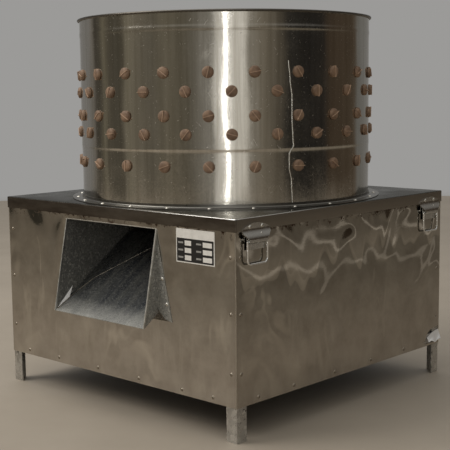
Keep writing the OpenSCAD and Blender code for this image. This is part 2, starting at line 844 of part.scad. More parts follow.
module cable_gland() {
  color([0.1, 0.1, 0.1]) translate([switch_x, panel_half + switch_d / 2, switch_z - switch_h / 2])
  difference() {
    union() {
      translate([0, 0, -gland_h * 0.6]) cylinder(r = cable_d / 2 + 6, h = gland_h * 0.6, $fn = 6);
      translate([0, 0, -gland_h]) cylinder(r = cable_d / 2 + 3.5, h = gland_h * 0.5);
    }
    translate([0, 0, -gland_h - cut]) cylinder(r = cable_d / 2, h = gland_h + 2 * cut);
  }
}

// The named sub-parts that are placings of the shapes above

module leg_front_left() {
  rotate([0, 0, 180]) angle_leg();
}

module leg_front_right() {
  rotate([0, 0, 270]) angle_leg();
}

module leg_rear_left() {
  rotate([0, 0, 90]) angle_leg();
}

module leg_rear_right() {
  angle_leg();
}

module top_rail_front() {
  rotate([0, 0, 270]) angle_rail(frame_top);
}

module top_rail_rear() {
  rotate([0, 0, 90]) angle_rail(frame_top);
}

module top_rail_left() {
  rotate([0, 0, 180]) angle_rail(frame_top);
}

module top_rail_right() {
  angle_rail(frame_top);
}

module bottom_rail_front() {
  rotate([0, 0, 270]) angle_rail(rail_top);
}

module bottom_rail_rear() {
  rotate([0, 0, 90]) angle_rail(rail_top);
}

module bottom_rail_left() {
  rotate([0, 0, 180]) angle_rail(rail_top);
}

module bottom_rail_right() {
  angle_rail(rail_top);
}

module rear_panel() {
  rotate([0, 0, 90]) side_panel(panel_half);
}

module left_panel() {
  rotate([0, 0, 180]) side_panel(panel_in);
}

module bearing_bridge() {
  strap_bridge(bearing_bridge_w, bearing_r, bolt_ring_r);
}

module motor_bridge() {
  translate([0, belt_centres, 0]) strap_bridge(motor_bridge_w, spigot_r, motor_bolt_r);
}

module upper_bearing() {
  ball_bearing(upper_bearing_z);
}

module lower_bearing() {
  ball_bearing(lower_bearing_z);
}

module drum_fingers_row_1() {
  drum_fingers(0);
}

module drum_fingers_row_2() {
  drum_fingers(1);
}

module drum_fingers_row_3() {
  drum_fingers(2);
}

module drum_fingers_row_4() {
  drum_fingers(3);
}

module drum_fingers_row_5() {
  drum_fingers(4);
}

module handle_plate_front_right() {
  at_handle(true, true) handle_plate();
}

module handle_plate_rear_right() {
  at_handle(false, true) handle_plate();
}

module handle_plate_front_left() {
  at_handle(true, false) handle_plate();
}

module handle_plate_rear_left() {
  at_handle(false, false) handle_plate();
}

module handle_ring_front_right() {
  at_handle(true, true) handle_ring();
}

module handle_ring_rear_right() {
  at_handle(false, true) handle_ring();
}

module handle_ring_front_left() {
  at_handle(true, false) handle_ring();
}

module handle_ring_rear_left() {
  at_handle(false, false) handle_ring();
}

module start_button() {
  color("green") push_button(1);
}

module stop_button() {
  color("red") push_button(-1);
}

leg_front_left();
leg_front_right();
leg_rear_left();
leg_rear_right();
top_rail_front();
top_rail_rear();
top_rail_left();
top_rail_right();
bottom_rail_front();
bottom_rail_rear();
bottom_rail_left();
bottom_rail_right();
front_panel();
rear_panel();
left_panel();
right_panel();
panel_screws();
feather_tray();
tray_walls();
chute_hood();
chute_rivets();
data_plate();
bearing_bridge();
motor_bridge();
bearing_housing();
upper_bearing();
lower_bearing();
drive_bolts();
motor_body();
terminal_box();
drive_belt();
switch_box();
cable_gland();
cover_plate();
drum_shell();
drum_foot_ring();
cover_rivets();
drum_fingers_row_1();
drum_fingers_row_2();
drum_fingers_row_3();
drum_fingers_row_4();
drum_fingers_row_5();
handle_plate_front_right();
handle_plate_rear_right();
handle_plate_front_left();
handle_plate_rear_left();
handle_ring_front_right();
handle_ring_rear_right();
handle_ring_front_left();
handle_ring_rear_left();
main_shaft();
rotor_hub();
feather_plate();
plate_fingers();
cap_nut();
large_pulley();
motor_shaft();
motor_pulley();
start_button();
stop_button();
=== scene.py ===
# %% [markdown]
# # Drum poultry plucker
# A square steel cabinet on angle legs carries a steel drum full of rubber fingers.
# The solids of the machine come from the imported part, already in metres and in place.
# This lesson gives each of them its finish, and remodels the pieces whose curves or
# edges show in polished steel: the drum, its foot, the cover, the fingers, the rating
# plate and the handles' hoods. Thin trim, such as a seam and cut edges, is added to them.

# %% Load the part
import json
import math

import bmesh
import bpy
from mathutils import Matrix, Vector


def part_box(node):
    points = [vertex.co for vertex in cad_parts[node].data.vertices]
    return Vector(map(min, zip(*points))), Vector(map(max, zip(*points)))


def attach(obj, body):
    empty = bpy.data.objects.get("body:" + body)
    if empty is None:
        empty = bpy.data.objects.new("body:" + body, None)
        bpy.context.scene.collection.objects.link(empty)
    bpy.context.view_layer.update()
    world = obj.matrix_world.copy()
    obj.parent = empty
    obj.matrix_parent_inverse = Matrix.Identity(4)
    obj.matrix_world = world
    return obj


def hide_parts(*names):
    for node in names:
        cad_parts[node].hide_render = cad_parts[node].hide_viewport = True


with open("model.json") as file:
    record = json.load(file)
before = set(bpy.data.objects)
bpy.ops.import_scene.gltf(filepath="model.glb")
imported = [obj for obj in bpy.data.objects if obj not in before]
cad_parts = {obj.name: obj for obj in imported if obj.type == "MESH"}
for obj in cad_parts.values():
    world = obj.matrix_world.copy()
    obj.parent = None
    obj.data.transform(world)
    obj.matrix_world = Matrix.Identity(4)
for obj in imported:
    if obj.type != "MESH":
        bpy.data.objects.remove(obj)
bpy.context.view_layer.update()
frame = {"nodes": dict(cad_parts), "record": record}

# %% [markdown]
# A finish is a small graph of shader nodes. Colours are written as sRGB hex values, as a
# paint card gives them, and turned to linear light here. One function adds a node and gives
# back its output, so that a finish reads from top to bottom: patterns, layers of colour, then
# the surface. A node's inputs are numbers, hex colours or the outputs of other nodes. A Mix
# node of colours takes its share at input 0 and its colours at 6 and 7, and gives its result at
# output 2. The patterns lie in the object's own coordinates, so they have the same size on
# every piece.

# %% Helpers for finishes
MM = 0.001


def linear(hex_value):
    """Linear RGBA of an sRGB hex colour."""
    parts = [int(hex_value[i:i + 2], 16) / 255 for i in (1, 3, 5)]
    return [c / 12.92 if c <= 0.04045 else ((c + 0.055) / 1.055) ** 2.4 for c in parts] + [1.0]


def fill(owner, node, inputs):
    """Links a node's inputs to outputs, or gives them numbers or hex colours."""
    for name, value in inputs.items():
        if isinstance(value, bpy.types.NodeSocket):
            owner.node_tree.links.new(value, node.inputs[name])
        else:
            node.inputs[name].default_value = linear(value) if isinstance(value, str) else value


def add(owner, kind, inputs, output=0, **settings):
    """Adds a node with its settings and inputs to a material or world, and returns an output."""
    made = owner.node_tree.nodes.new(kind)
    for name, value in settings.items():
        setattr(made, name, value)
    fill(owner, made, inputs)
    return made.outputs[output]


def new_finish(name):
    """An empty material: its surface shader, and the object's own coordinates."""
    material = bpy.data.materials.new(name)
    material.use_nodes = True
    shader = material.node_tree.nodes["Principled BSDF"]
    return material, shader, add(material, "ShaderNodeTexCoord", {}, "Object")


def per_mm(size_mm):
    """Texture scale at which one feature is about that many millimetres wide."""
    return 1 / (size_mm * MM)


# %% [markdown]
# The drum is rolled from polished stainless sheet. Polishing leaves fine streaks that run up
# the sheet, and use leaves smears, hazy patches and hair scratches. They hardly change its
# colour, but its roughness changes from place to place, and that is what shows beside a
# highlight. A scratch is the peak of a pattern that is drawn out along a leaning axis. Real
# ones are finer, and these are as coarse as they need to be to show.

# %% Polished stainless of the drum
SCRATCH_LEANS, SCRATCH_LENGTH = ((-0.40, 0.47, 0), (0.35, -0.40, 0), (-0.70, 1.1, 0)), 9
drum_steel, shader, place = new_finish("polished_stainless_drum")
smear_and_painted_reflection = add(drum_steel, "ShaderNodeTexNoise",
            {"Vector": place, "Scale": per_mm(70), "Detail": 5.0, "Roughness": 0.6})
upright = add(drum_steel, "ShaderNodeMapping", {"Vector": place, "Scale": (1, 1, 0.03)})
streak = add(drum_steel, "ShaderNodeTexNoise",
             {"Vector": upright, "Scale": per_mm(9), "Detail": 4.0, "Roughness": 0.65})
fleck = add(drum_steel, "ShaderNodeTexNoise",
            {"Vector": place, "Scale": per_mm(4), "Detail": 4.0, "Roughness": 0.75})
tone = add(drum_steel, "ShaderNodeMapRange", {"Value": streak, "From Min": 0.3, "From Max": 0.7})
colour = add(drum_steel, "ShaderNodeMix", {0: tone, 6: "#b9b4a9", 7: "#d6d2ca"}, 2, data_type="RGBA")
dull = add(drum_steel, "ShaderNodeMath", {0: smear_and_painted_reflection, 1: fleck}, operation="MULTIPLY")
rough = add(drum_steel, "ShaderNodeMapRange",
            {"Value": dull, "From Min": 0.14, "From Max": 0.42, "To Min": 0.07, "To Max": 0.22})
haze = add(drum_steel, "ShaderNodeMapRange",
           {"Value": smear_and_painted_reflection, "From Min": 0.56, "From Max": 0.74, "To Max": 0.3})
rough = add(drum_steel, "ShaderNodeMath", {0: rough, 1: haze}, operation="MAXIMUM")
for lean in SCRATCH_LEANS:
    turned = add(drum_steel, "ShaderNodeMapping", {
        "Vector": place, "Rotation": lean, "Scale": (1, 1, SCRATCH_LENGTH)}, vector_type="TEXTURE")
    hair = add(drum_steel, "ShaderNodeTexNoise",
               {"Vector": turned, "Scale": per_mm(2.6), "Detail": 1.0})
    scratch = add(drum_steel, "ShaderNodeMapRange",
                  {"Value": hair, "From Min": 0.74, "From Max": 0.78, "To Max": 0.4})
    rough = add(drum_steel, "ShaderNodeMath", {0: rough, 1: scratch}, operation="MAXIMUM")
grain = add(drum_steel, "ShaderNodeBump", {"Height": fleck, "Strength": 0.06, "Distance": 0.3 * MM})
fill(drum_steel, shader, {"Base Color": colour, "Roughness": rough, "Metallic": 1.0, "Normal": grain})
print("made", drum_steel.name)

# %% [markdown]
# The cabinet's panels are thin cold-rolled stainless. Thin sheet that is screwed at its
# edges "oil-cans": it bulges by a millimetre or two, and the bulges bend what it mirrors.
# A low, wide pattern is kept for these bulges. The dirt comes in layers of colour, each mixed
# over the one before, and the first is a pale film of dried splashes low down.

# %% Panels: bulges and film
panel_steel, shader, place = new_finish("cold_rolled_stainless_panel")
x, _, z = add(panel_steel, "ShaderNodeSeparateXYZ", {0: place}).node.outputs
tall = add(panel_steel, "ShaderNodeMapping", {"Vector": place, "Scale": (1, 1, 0.8)})
bulge = add(panel_steel, "ShaderNodeTexNoise", {
    "Vector": tall, "Scale": per_mm(120), "Detail": 1.0, "Roughness": 0.4, "Distortion": 0.6})
smudge = add(panel_steel, "ShaderNodeTexNoise",
             {"Vector": place, "Scale": per_mm(45), "Detail": 6.0, "Roughness": 0.65})
tone = add(panel_steel, "ShaderNodeMapRange", {"Value": smudge, "From Min": 0.3, "From Max": 0.7})
bare = add(panel_steel, "ShaderNodeMix", {0: tone, 6: "#7f7a72", 7: "#949088"}, 2, data_type="RGBA")
film = add(panel_steel, "ShaderNodeMix", {0: tone, 6: "#a09990", 7: "#b5afa6"}, 2, data_type="RGBA")
low_down = add(panel_steel, "ShaderNodeMapRange", {"Value": z, "From Min": 0.26, "From Max": 0.13})
colour = add(panel_steel, "ShaderNodeMix", {0: low_down, 6: bare, 7: film}, 2, data_type="RGBA")
print("began", panel_steel.name)

# %% [markdown]
# The bulged sheet mirrors the room in curved lines, and these are painted in as pale swirls:
# painted reflections. The sine of a cloudy pattern runs through many turns and so draws curved
# lines along its heights. They are kept to patches.

# %% Panels: painted reflection swirls
SWIRL_TURNS = 34.0
curl = add(panel_steel, "ShaderNodeTexNoise", {
    "Vector": tall, "Scale": per_mm(150), "Detail": 2.0, "Roughness": 0.5, "Distortion": 1.2})
turns = add(panel_steel, "ShaderNodeMath", {0: curl, 1: SWIRL_TURNS}, operation="MULTIPLY")
ripple = add(panel_steel, "ShaderNodeMath", {0: turns}, operation="SINE")
reflection_swirl = add(panel_steel, "ShaderNodeMapRange",
            {"Value": ripple, "From Min": -0.4, "From Max": 1.0, "To Max": 0.5})
patchy = add(panel_steel, "ShaderNodeMapRange", {"Value": bulge, "From Min": 0.46, "From Max": 0.66})
# Painted reflection: pale swirls in patches over the bulges.
painted_reflection_swirls = add(panel_steel, "ShaderNodeMath", {0: reflection_swirl, 1: patchy}, operation="MULTIPLY")
colour = add(panel_steel, "ShaderNodeMix", {0: painted_reflection_swirls, 6: colour, 7: "#c9c3b8"}, 2, data_type="RGBA")
print("swirls turn", round(SWIRL_TURNS / math.tau, 1), "times over the pattern's range")

# %% [markdown]
# Pale painted reflections hang from the top of the right panel: its bulges mirror the low lamps
# as tongues, each with a paler rim. A pattern that is drawn out downwards is lifted towards the
# top and cut off at one level, so that its peaks reach down as tongues.

# %% Panels: hanging painted reflections
hung = add(panel_steel, "ShaderNodeMapping", {"Vector": place, "Scale": (1, 1, 0.15)})
fall = add(panel_steel, "ShaderNodeTexNoise", {
    "Vector": hung, "Scale": per_mm(62), "Detail": 1.0, "Roughness": 0.4, "Distortion": 0.5})
lift = add(panel_steel, "ShaderNodeMapRange",
           {"Value": z, "From Min": 0.2, "From Max": 0.34, "To Min": -0.26, "To Max": 0.24})
drop = add(panel_steel, "ShaderNodeMath", {0: fall, 1: lift}, operation="ADD")
curtain = add(panel_steel, "ShaderNodeMapRange",
              {"Value": drop, "From Min": 0.49, "From Max": 0.56, "To Max": 0.3})
painted_reflection_rim = add(panel_steel, "ShaderNodeMath", {0: drop, 1: 0.53, 2: 0.03}, operation="COMPARE")
tongue = add(panel_steel, "ShaderNodeMath", {0: painted_reflection_rim, 1: 0.17, 2: curtain}, operation="MULTIPLY_ADD")
below_top = add(panel_steel, "ShaderNodeMapRange", {"Value": z, "From Min": 0.345, "From Max": 0.3})
right_side = add(panel_steel, "ShaderNodeMapRange", {"Value": x, "From Min": 0.322, "From Max": 0.325})
shown = add(panel_steel, "ShaderNodeMath", {0: below_top, 1: right_side}, operation="MULTIPLY")
# Painted reflection: the tongues and their rims show only on the right panel, below its top.
smear_and_painted_reflection = add(panel_steel, "ShaderNodeMath", {0: tongue, 1: shown}, operation="MULTIPLY")
colour = add(panel_steel, "ShaderNodeMix", {0: smear_and_painted_reflection, 6: colour, 7: "#d5cfc4"}, 2, data_type="RGBA")
print("smears hang on the right panel")

# %% [markdown]
# The last layers are upright wiping streaks, denser low down, and rust under the skirt. Wiped
# places are duller, and rust is matt. The surface is bent by the wide bulges first, and by a
# finer pattern of handling marks on top of them.

# %% Panels: streaks, rust and surface
drawn = add(panel_steel, "ShaderNodeMapping", {"Vector": place, "Scale": (1, 1, 0.22)})
wipe = add(panel_steel, "ShaderNodeTexNoise", {
    "Vector": drawn, "Scale": per_mm(32), "Detail": 4.0, "Roughness": 0.55, "Distortion": 0.8})
splash = add(panel_steel, "ShaderNodeMapRange",
             {"Value": z, "From Min": 0.09, "From Max": 0.27, "To Min": 0.5, "To Max": 0.68})
wipe_and_painted_reflection = add(panel_steel, "ShaderNodeMapRange",
            {"Value": wipe, "From Min": splash, "From Max": 0.8, "To Max": 0.8})
colour = add(panel_steel, "ShaderNodeMix", {0: wipe_and_painted_reflection, 6: colour, 7: "#bdb8ae"}, 2, data_type="RGBA")
near_top = add(panel_steel, "ShaderNodeMapRange",
               {"Value": z, "From Min": 0.345, "From Max": 0.376, "To Max": 0.26})
rust = add(panel_steel, "ShaderNodeTexNoise",
           {"Vector": place, "Scale": per_mm(11), "Detail": 6.0, "Roughness": 0.75})
drip = add(panel_steel, "ShaderNodeMath", {0: rust, 1: near_top}, operation="ADD")
stain = add(panel_steel, "ShaderNodeMapRange", {"Value": drip, "From Min": 0.74, "From Max": 0.82})
colour = add(panel_steel, "ShaderNodeMix", {0: stain, 6: colour, 7: "#54402f"}, 2, data_type="RGBA")
gloss = add(panel_steel, "ShaderNodeMapRange",
            {"Value": smudge, "From Min": 0.25, "From Max": 0.75, "To Min": 0.02, "To Max": 0.06})
hazed = add(panel_steel, "ShaderNodeMath", {0: wipe_and_painted_reflection, 1: 0.14, 2: gloss}, operation="MULTIPLY_ADD")
rough = add(panel_steel, "ShaderNodeMath", {0: hazed, 1: stain}, operation="MAXIMUM")
mark = add(panel_steel, "ShaderNodeTexNoise",
           {"Vector": place, "Scale": per_mm(3.5), "Detail": 2.0, "Roughness": 0.6})
wave = add(panel_steel, "ShaderNodeBump", {"Height": bulge, "Strength": 1.0, "Distance": 9 * MM})
scuff = add(panel_steel, "ShaderNodeBump",
            {"Height": mark, "Strength": 0.05, "Distance": 0.3 * MM, "Normal": wave})
fill(panel_steel, shader, {"Base Color": colour, "Roughness": rough, "Metallic": 1.0, "Normal": scuff})
print("made", panel_steel.name)

# %% [markdown]
# The cover is the same kind of sheet, bent down all round. Its top is dark with scuffs, and
# brighter at the near right corner, a painted reflection of the lit room and the drum's highlight.
# The front of its skirt is stained brown and its other sides are paler, so the piece takes two
# finishes.

# %% Scuffed top of the cover
cover_steel, shader, place = new_finish("scuffed_stainless_cover")
x, y, _ = add(cover_steel, "ShaderNodeSeparateXYZ", {0: place}).node.outputs
scuff = add(cover_steel, "ShaderNodeTexNoise",
            {"Vector": place, "Scale": per_mm(60), "Detail": 5.0, "Roughness": 0.6})
tone = add(cover_steel, "ShaderNodeMapRange", {"Value": scuff, "From Min": 0.25, "From Max": 0.75})
colour = add(cover_steel, "ShaderNodeMix", {0: tone, 6: "#444340", 7: "#666562"}, 2, data_type="RGBA")
# Painted reflection: towards the near right corner the top is mixed to a pale grey.
corner = add(cover_steel, "ShaderNodeMath", {0: x, 1: y}, operation="SUBTRACT")
wipe_and_painted_reflection = add(cover_steel, "ShaderNodeMapRange", {"Value": corner, "From Min": 0.36, "From Max": 0.54})
colour = add(cover_steel, "ShaderNodeMix", {0: wipe_and_painted_reflection, 6: colour, 7: "#c9c8c5"}, 2, data_type="RGBA")
rough = add(cover_steel, "ShaderNodeMapRange",
            {"Value": scuff, "From Min": 0.3, "From Max": 0.7, "To Min": 0.14, "To Max": 0.32})
fill(cover_steel, shader, {
    "Base Color": colour, "Roughness": rough, "Metallic": 1.0, "Specular Tint": "#c2c2c0"})
print("made", cover_steel.name)

# %% [markdown]
# The skirt's stain lies in level bands, as dirty water leaves it along a bent edge, so its
# pattern is drawn out sideways and squeezed in height. The front lies at the lowest Y.

# %% Stained skirt of the cover
skirt_steel, shader, place = new_finish("stained_stainless_skirt")
_, y, _ = add(skirt_steel, "ShaderNodeSeparateXYZ", {0: place}).node.outputs
drawn = add(skirt_steel, "ShaderNodeMapping", {"Vector": place, "Scale": (0.45, 0.45, 2.0)})
stain = add(skirt_steel, "ShaderNodeTexNoise",
            {"Vector": drawn, "Scale": per_mm(45), "Detail": 6.0, "Roughness": 0.65})
tone = add(skirt_steel, "ShaderNodeMapRange", {"Value": stain, "From Min": 0.3, "From Max": 0.7})
colour = add(skirt_steel, "ShaderNodeMix", {0: tone, 6: "#40372f", 7: "#6a635a"}, 2, data_type="RGBA")
aside = add(skirt_steel, "ShaderNodeMapRange",
            {"Value": y, "From Min": -0.327, "From Max": -0.323, "To Max": 0.75})
colour = add(skirt_steel, "ShaderNodeMix", {0: aside, 6: colour, 7: "#a29b90"}, 2, data_type="RGBA")
fill(skirt_steel, shader, {"Base Color": colour, "Roughness": 0.42, "Metallic": 1.0})
print("made", skirt_steel.name)

# %% [markdown]
# Legs, rails, tray and chute are galvanised: hot zinc freezes in flat crystals, the spangle,
# a few millimetres across. A Voronoi pattern gives each crystal its own shade, and a few of
# them get a painted glint. Handling drags streaks over the zinc and chips it in dark spots. Low
# down it is paler: wear on the legs, and painted light on the chute's floor near its lip. The
# chute's cheeks get more painted glints than its floor, and their outer faces are painted paler, as if
# lit.

# %% Galvanised sheet and angle
CHEEK_FROM, CHEEK_IN, CHEEK_SKIN = 0.127, 0.128, 0.0012


def galvanised(name, dark, pale, spangle_mm, metallic, wear_and_light_pale, pale_full_z, pale_start_z, chipped,
               lit_from=1.0):
    """Zinc of two shades and painted glints; paler below two heights in metres, as wear and as painted
    light, and painted paler past a distance along X.
    """
    zinc, shader, place = new_finish(name)
    x, _, z = add(zinc, "ShaderNodeSeparateXYZ", {0: place}).node.outputs
    spangle = add(zinc, "ShaderNodeTexVoronoi",
                  {"Vector": place, "Scale": per_mm(spangle_mm)}, "Color")
    shade = add(zinc, "ShaderNodeSeparateColor", {"Color": spangle}).node.outputs
    run = add(zinc, "ShaderNodeMapping", {"Vector": place, "Scale": (1, 0.12, 0.12)})
    streak = add(zinc, "ShaderNodeTexNoise",
                 {"Vector": run, "Scale": per_mm(14), "Detail": 4.0, "Distortion": 0.4})
    drag = add(zinc, "ShaderNodeMapRange", {"Value": streak, "From Min": 0.35, "From Max": 0.65})
    both = add(zinc, "ShaderNodeMix", {0: 0.72, 2: shade[0], 3: drag})
    colour = add(zinc, "ShaderNodeMix", {0: both, 6: dark, 7: pale}, 2, data_type="RGBA")

    aside = add(zinc, "ShaderNodeMath", {0: x}, operation="ABSOLUTE")
    # Painted highlight: the brightest crystals are mixed towards the pale colour as glints, more on the
    # chute's cheeks.
    sparkle = add(zinc, "ShaderNodeMapRange", {
        "Value": aside, "From Min": CHEEK_FROM, "From Max": CHEEK_IN, "To Min": 0.15, "To Max": 0.7})
    glint = add(zinc, "ShaderNodeMapRange",
                {"Value": shade[2], "From Min": 0.7, "From Max": 1.0, "To Max": sparkle})
    colour = add(zinc, "ShaderNodeMix", {0: glint, 6: colour, 7: wear_and_light_pale}, 2, data_type="RGBA")

    # Paler low down: wear on the legs, and on the chute a painted lightening of the floor near its lip.
    low = add(zinc, "ShaderNodeMapRange",
              {"Value": z, "From Min": pale_start_z, "From Max": pale_full_z, "To Max": 0.9})
    cloud = add(zinc, "ShaderNodeTexNoise",
                {"Vector": place, "Scale": per_mm(40), "Detail": 4.0, "Roughness": 0.55})
    low_wear_and_lip_light = add(zinc, "ShaderNodeMath", {0: low, 1: cloud}, operation="MULTIPLY")
    # Painted light: past lit_from along X the zinc is mixed paler, as if the chute's cheeks caught more
    # light.
    beyond = add(zinc, "ShaderNodeMath", {0: aside, 1: lit_from}, operation="GREATER_THAN")
    paler = add(zinc, "ShaderNodeMapRange", {
        "Value": aside, "From Min": lit_from, "From Max": lit_from + CHEEK_SKIN,
        "To Min": 0.08, "To Max": 0.45})
    side = add(zinc, "ShaderNodeMath", {0: beyond, 1: paler}, operation="MULTIPLY")
    wear_and_painted_light = add(zinc, "ShaderNodeMath", {0: low_wear_and_lip_light, 1: side}, operation="MAXIMUM")
    colour = add(zinc, "ShaderNodeMix", {0: wear_and_painted_light, 6: colour, 7: wear_and_light_pale}, 2, data_type="RGBA")

    drawn = add(zinc, "ShaderNodeMapping", {"Vector": place, "Scale": (1, 0.3, 0.5)})
    rub = add(zinc, "ShaderNodeTexNoise",
              {"Vector": drawn, "Scale": per_mm(7), "Detail": 5.0, "Roughness": 0.7})
    chip = add(zinc, "ShaderNodeMapRange",
               {"Value": rub, "From Min": chipped, "From Max": chipped + 0.06})
    colour = add(zinc, "ShaderNodeMix", {0: chip, 6: colour, 7: "#2d2b29"}, 2, data_type="RGBA")
    rough = add(zinc, "ShaderNodeMapRange", {"Value": shade[1], "To Min": 0.25, "To Max": 0.34})
    fill(zinc, shader, {"Base Color": colour, "Roughness": rough, "Metallic": metallic})
    return zinc


angle_zinc = galvanised("galvanised_angle", "#928f89", "#b1aea9", 9, 0.75, "#d0cec8", 0.0, 0.07, 0.60)
chute_zinc = galvanised("galvanised_chute_sheet", "#303338", "#575855", 2.6, 0.45, "#c4c3bc",
                        0.185, 0.210, 0.66, 0.1287)
print("made", angle_zinc.name, chute_zinc.name)

# %% [markdown]
# Handles, rivets, screws and cut edges are plated or bare metal of one colour. A slight
# cloudiness in the roughness is all that such a thin skin shows. Torn sheet is less metallic
# here: it is crumpled finer than its mesh, so it scatters light as a pale matt surface does.
# Its near-white colour also serves as a painted highlight on the chute's bent lip.

# %% Plated and bare metal
def plated(name, colour, low_rough, high_rough, metallic=1.0):
    """Metal of one colour, a little cloudy."""
    plate, shader, place = new_finish(name)
    cloud = add(plate, "ShaderNodeTexNoise", {"Vector": place, "Scale": per_mm(8), "Detail": 3.0})
    rough = add(plate, "ShaderNodeMapRange", {
        "Value": cloud, "From Min": 0.3, "From Max": 0.7, "To Min": low_rough, "To Max": high_rough})
    fill(plate, shader, {"Base Color": colour, "Roughness": rough, "Metallic": metallic})
    return plate


handle_plating = plated("bright_zinc_plate_handle", "#e2e2e0", 0.06, 0.14)
rim_steel = plated("dark_rolled_edge", "#5f5b55", 0.25, 0.4)
hood_plating = plated("dull_zinc_plate_hood", "#b4b3af", 0.16, 0.3)
fold_steel = plated("folded_stainless_edge", "#aaa397", 0.3, 0.45)
flange_steel = plated("dull_stainless_flange", "#74726d", 0.26, 0.4)
# Near-white and half matt: torn steel, and a painted glint where the chute's lip is bent.
bare_steel_and_glint = plated("bare_torn_steel_and_glint", "#f0f0f0", 0.3, 0.5, 0.35)
screw_steel = plated("dull_stainless_screw", "#948b7e", 0.25, 0.4)
cut_zinc = plated("sheared_zinc_edge", "#e2e2de", 0.3, 0.45)
rivet_plating = plated("bright_zinc_plate_rivet", "#c6c3bb", 0.2, 0.4)
turned_steel = plated("turned_steel", "#bdbbb6", 0.2, 0.35)
print("made", handle_plating.name, rivet_plating.name, turned_steel.name, "and others")

# %% [markdown]
# The fingers are moulded from tan natural rubber: matt, mottled, and darker where hands and
# dirt have been. Paint, cast iron, belt and plastics are built the same way: a pair of close
# shades, a roughness and a fine bump for the skin of the material.

# %% Rubber, paint and plastics
def mottled(name, dark, pale, patch_mm, rough, skin_mm, skin_height_mm):
    """A non-metal of two close shades in patches, with a fine skin."""
    stuff, shader, place = new_finish(name)
    patch = add(stuff, "ShaderNodeTexNoise",
                {"Vector": place, "Scale": per_mm(patch_mm), "Detail": 5.0, "Roughness": 0.65})
    tone = add(stuff, "ShaderNodeMapRange", {"Value": patch, "From Min": 0.32, "From Max": 0.68})
    colour = add(stuff, "ShaderNodeMix", {0: tone, 6: dark, 7: pale}, 2, data_type="RGBA")
    skin = add(stuff, "ShaderNodeTexNoise",
               {"Vector": place, "Scale": per_mm(skin_mm), "Detail": 2.0})
    bump = add(stuff, "ShaderNodeBump",
               {"Height": skin, "Strength": 0.5, "Distance": skin_height_mm * MM})
    fill(stuff, shader, {"Base Color": colour, "Roughness": rough, "Normal": bump})
    return stuff


finger_rubber = mottled("moulded_natural_rubber", "#654f3e", "#937861", 14, 0.62, 1.2, 0.15)
flash_rubber = mottled("trimmed_rubber_flash", "#a48870", "#bb9f88", 14, 0.6, 1.2, 0.1)
belt_rubber = mottled("belt_rubber", "#151515", "#242424", 20, 0.7, 1.0, 0.1)
motor_enamel = mottled("motor_enamel_blue", "#23405c", "#2c4d6d", 40, 0.35, 2.0, 0.05)
bridge_paint = mottled("dark_grey_paint", "#33353a", "#44474c", 30, 0.5, 1.5, 0.08)
cast_iron = mottled("cast_iron", "#3a3a3b", "#4d4c4b", 10, 0.6, 1.2, 0.2)
box_plastic = mottled("black_abs", "#1b1b1c", "#262627", 25, 0.45, 0.8, 0.05)
start_plastic = mottled("green_nylon", "#1f6b35", "#247a3d", 8, 0.35, 0.8, 0.03)
stop_plastic = mottled("red_nylon", "#9c1f1c", "#b02723", 8, 0.35, 0.8, 0.03)
print("made", finger_rubber.name, motor_enamel.name, box_plastic.name, "and others")

# %% [markdown]
# Every solid gets its finish now, by the material slot that the record gives it. The panels'
# screws are of stainless steel, so they are duller than the plated rivets.

# %% Finishes on the solids
finishes = {
    "galvanised": angle_zinc, "panel_stainless": panel_steel, "chute_galvanised": chute_zinc,
    "zinc_plated": rivet_plating, "plate_aluminium": handle_plating, "painted_steel": bridge_paint,
    "cast_iron": cast_iron, "machined_steel": turned_steel, "motor_paint": motor_enamel,
    "belt_rubber": belt_rubber, "black_plastic": box_plastic, "cover_stainless": cover_steel,
    "drum_stainless": drum_steel, "finger_rubber": finger_rubber, "bright_steel": handle_plating,
    "green_plastic": start_plastic, "red_plastic": stop_plastic,
}
for part in frame["record"]["subparts"]:
    solid = frame["nodes"][part["node"]].data
    solid.materials.clear()
    solid.materials.append(finishes[part["material_slot"]])
frame["nodes"]["panel_screws"].data.materials[0] = screw_steel

# %% [markdown]
# A new piece is a bmesh that becomes an object at the origin. It rides on a body, stands for
# the solids it improves on, and is shaded smooth except at real edges.

# %% Helper for new pieces
def make_piece(mesh, name, body, materials, stands_for=(), sharp_deg=35):
    """Turns a bmesh into a finished piece on its body."""
    data = bpy.data.meshes.new(name)
    mesh.to_mesh(data)
    mesh.free()
    for material in materials:
        data.materials.append(material)
    for face in data.polygons:
        face.use_smooth = True
    data.set_sharp_from_angle(angle=math.radians(sharp_deg))
    piece = bpy.data.objects.new(name, data)
    bpy.context.scene.collection.objects.link(piece)
    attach(piece, body)
    if stands_for:
        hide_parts(*stands_for)
    print("made", name, "with", len(data.polygons), "faces")
    return piece


# %% [markdown]
# Round pieces come from an outline of (radius, height) points that is spun about the upright
# axis, and an arc gives the points of a rounded stretch. Points that fall together, as those
# on the axis do, are merged before the normals are turned outwards.

# %% Helpers for spun pieces
MERGE = 1e-6


def spin(points, steps, closed):
    """Spins an outline of (radius, height) points, in metres, about the Z axis."""
    mesh = bmesh.new()
    corners = [mesh.verts.new((radius, 0, height)) for radius, height in points]
    first = 0 if closed else 1
    edges = [mesh.edges.new((corners[i - 1], corners[i])) for i in range(first, len(corners))]
    bmesh.ops.spin(mesh, geom=corners + edges, cent=(0, 0, 0), axis=(0, 0, 1), angle=math.tau,
                   steps=steps, use_merge=True, use_duplicate=False)
    bmesh.ops.remove_doubles(mesh, verts=mesh.verts, dist=MERGE)
    bmesh.ops.recalc_face_normals(mesh, faces=mesh.faces)
    return mesh


def arc(centre, radius, start_deg, end_deg, count):
    """Points on an arc in the outline's plane, ends included."""
    turns = [math.radians(start_deg + (end_deg - start_deg) * i / count) for i in range(count + 1)]
    return [(centre[0] + radius * math.cos(t), centre[1] + radius * math.sin(t)) for t in turns]


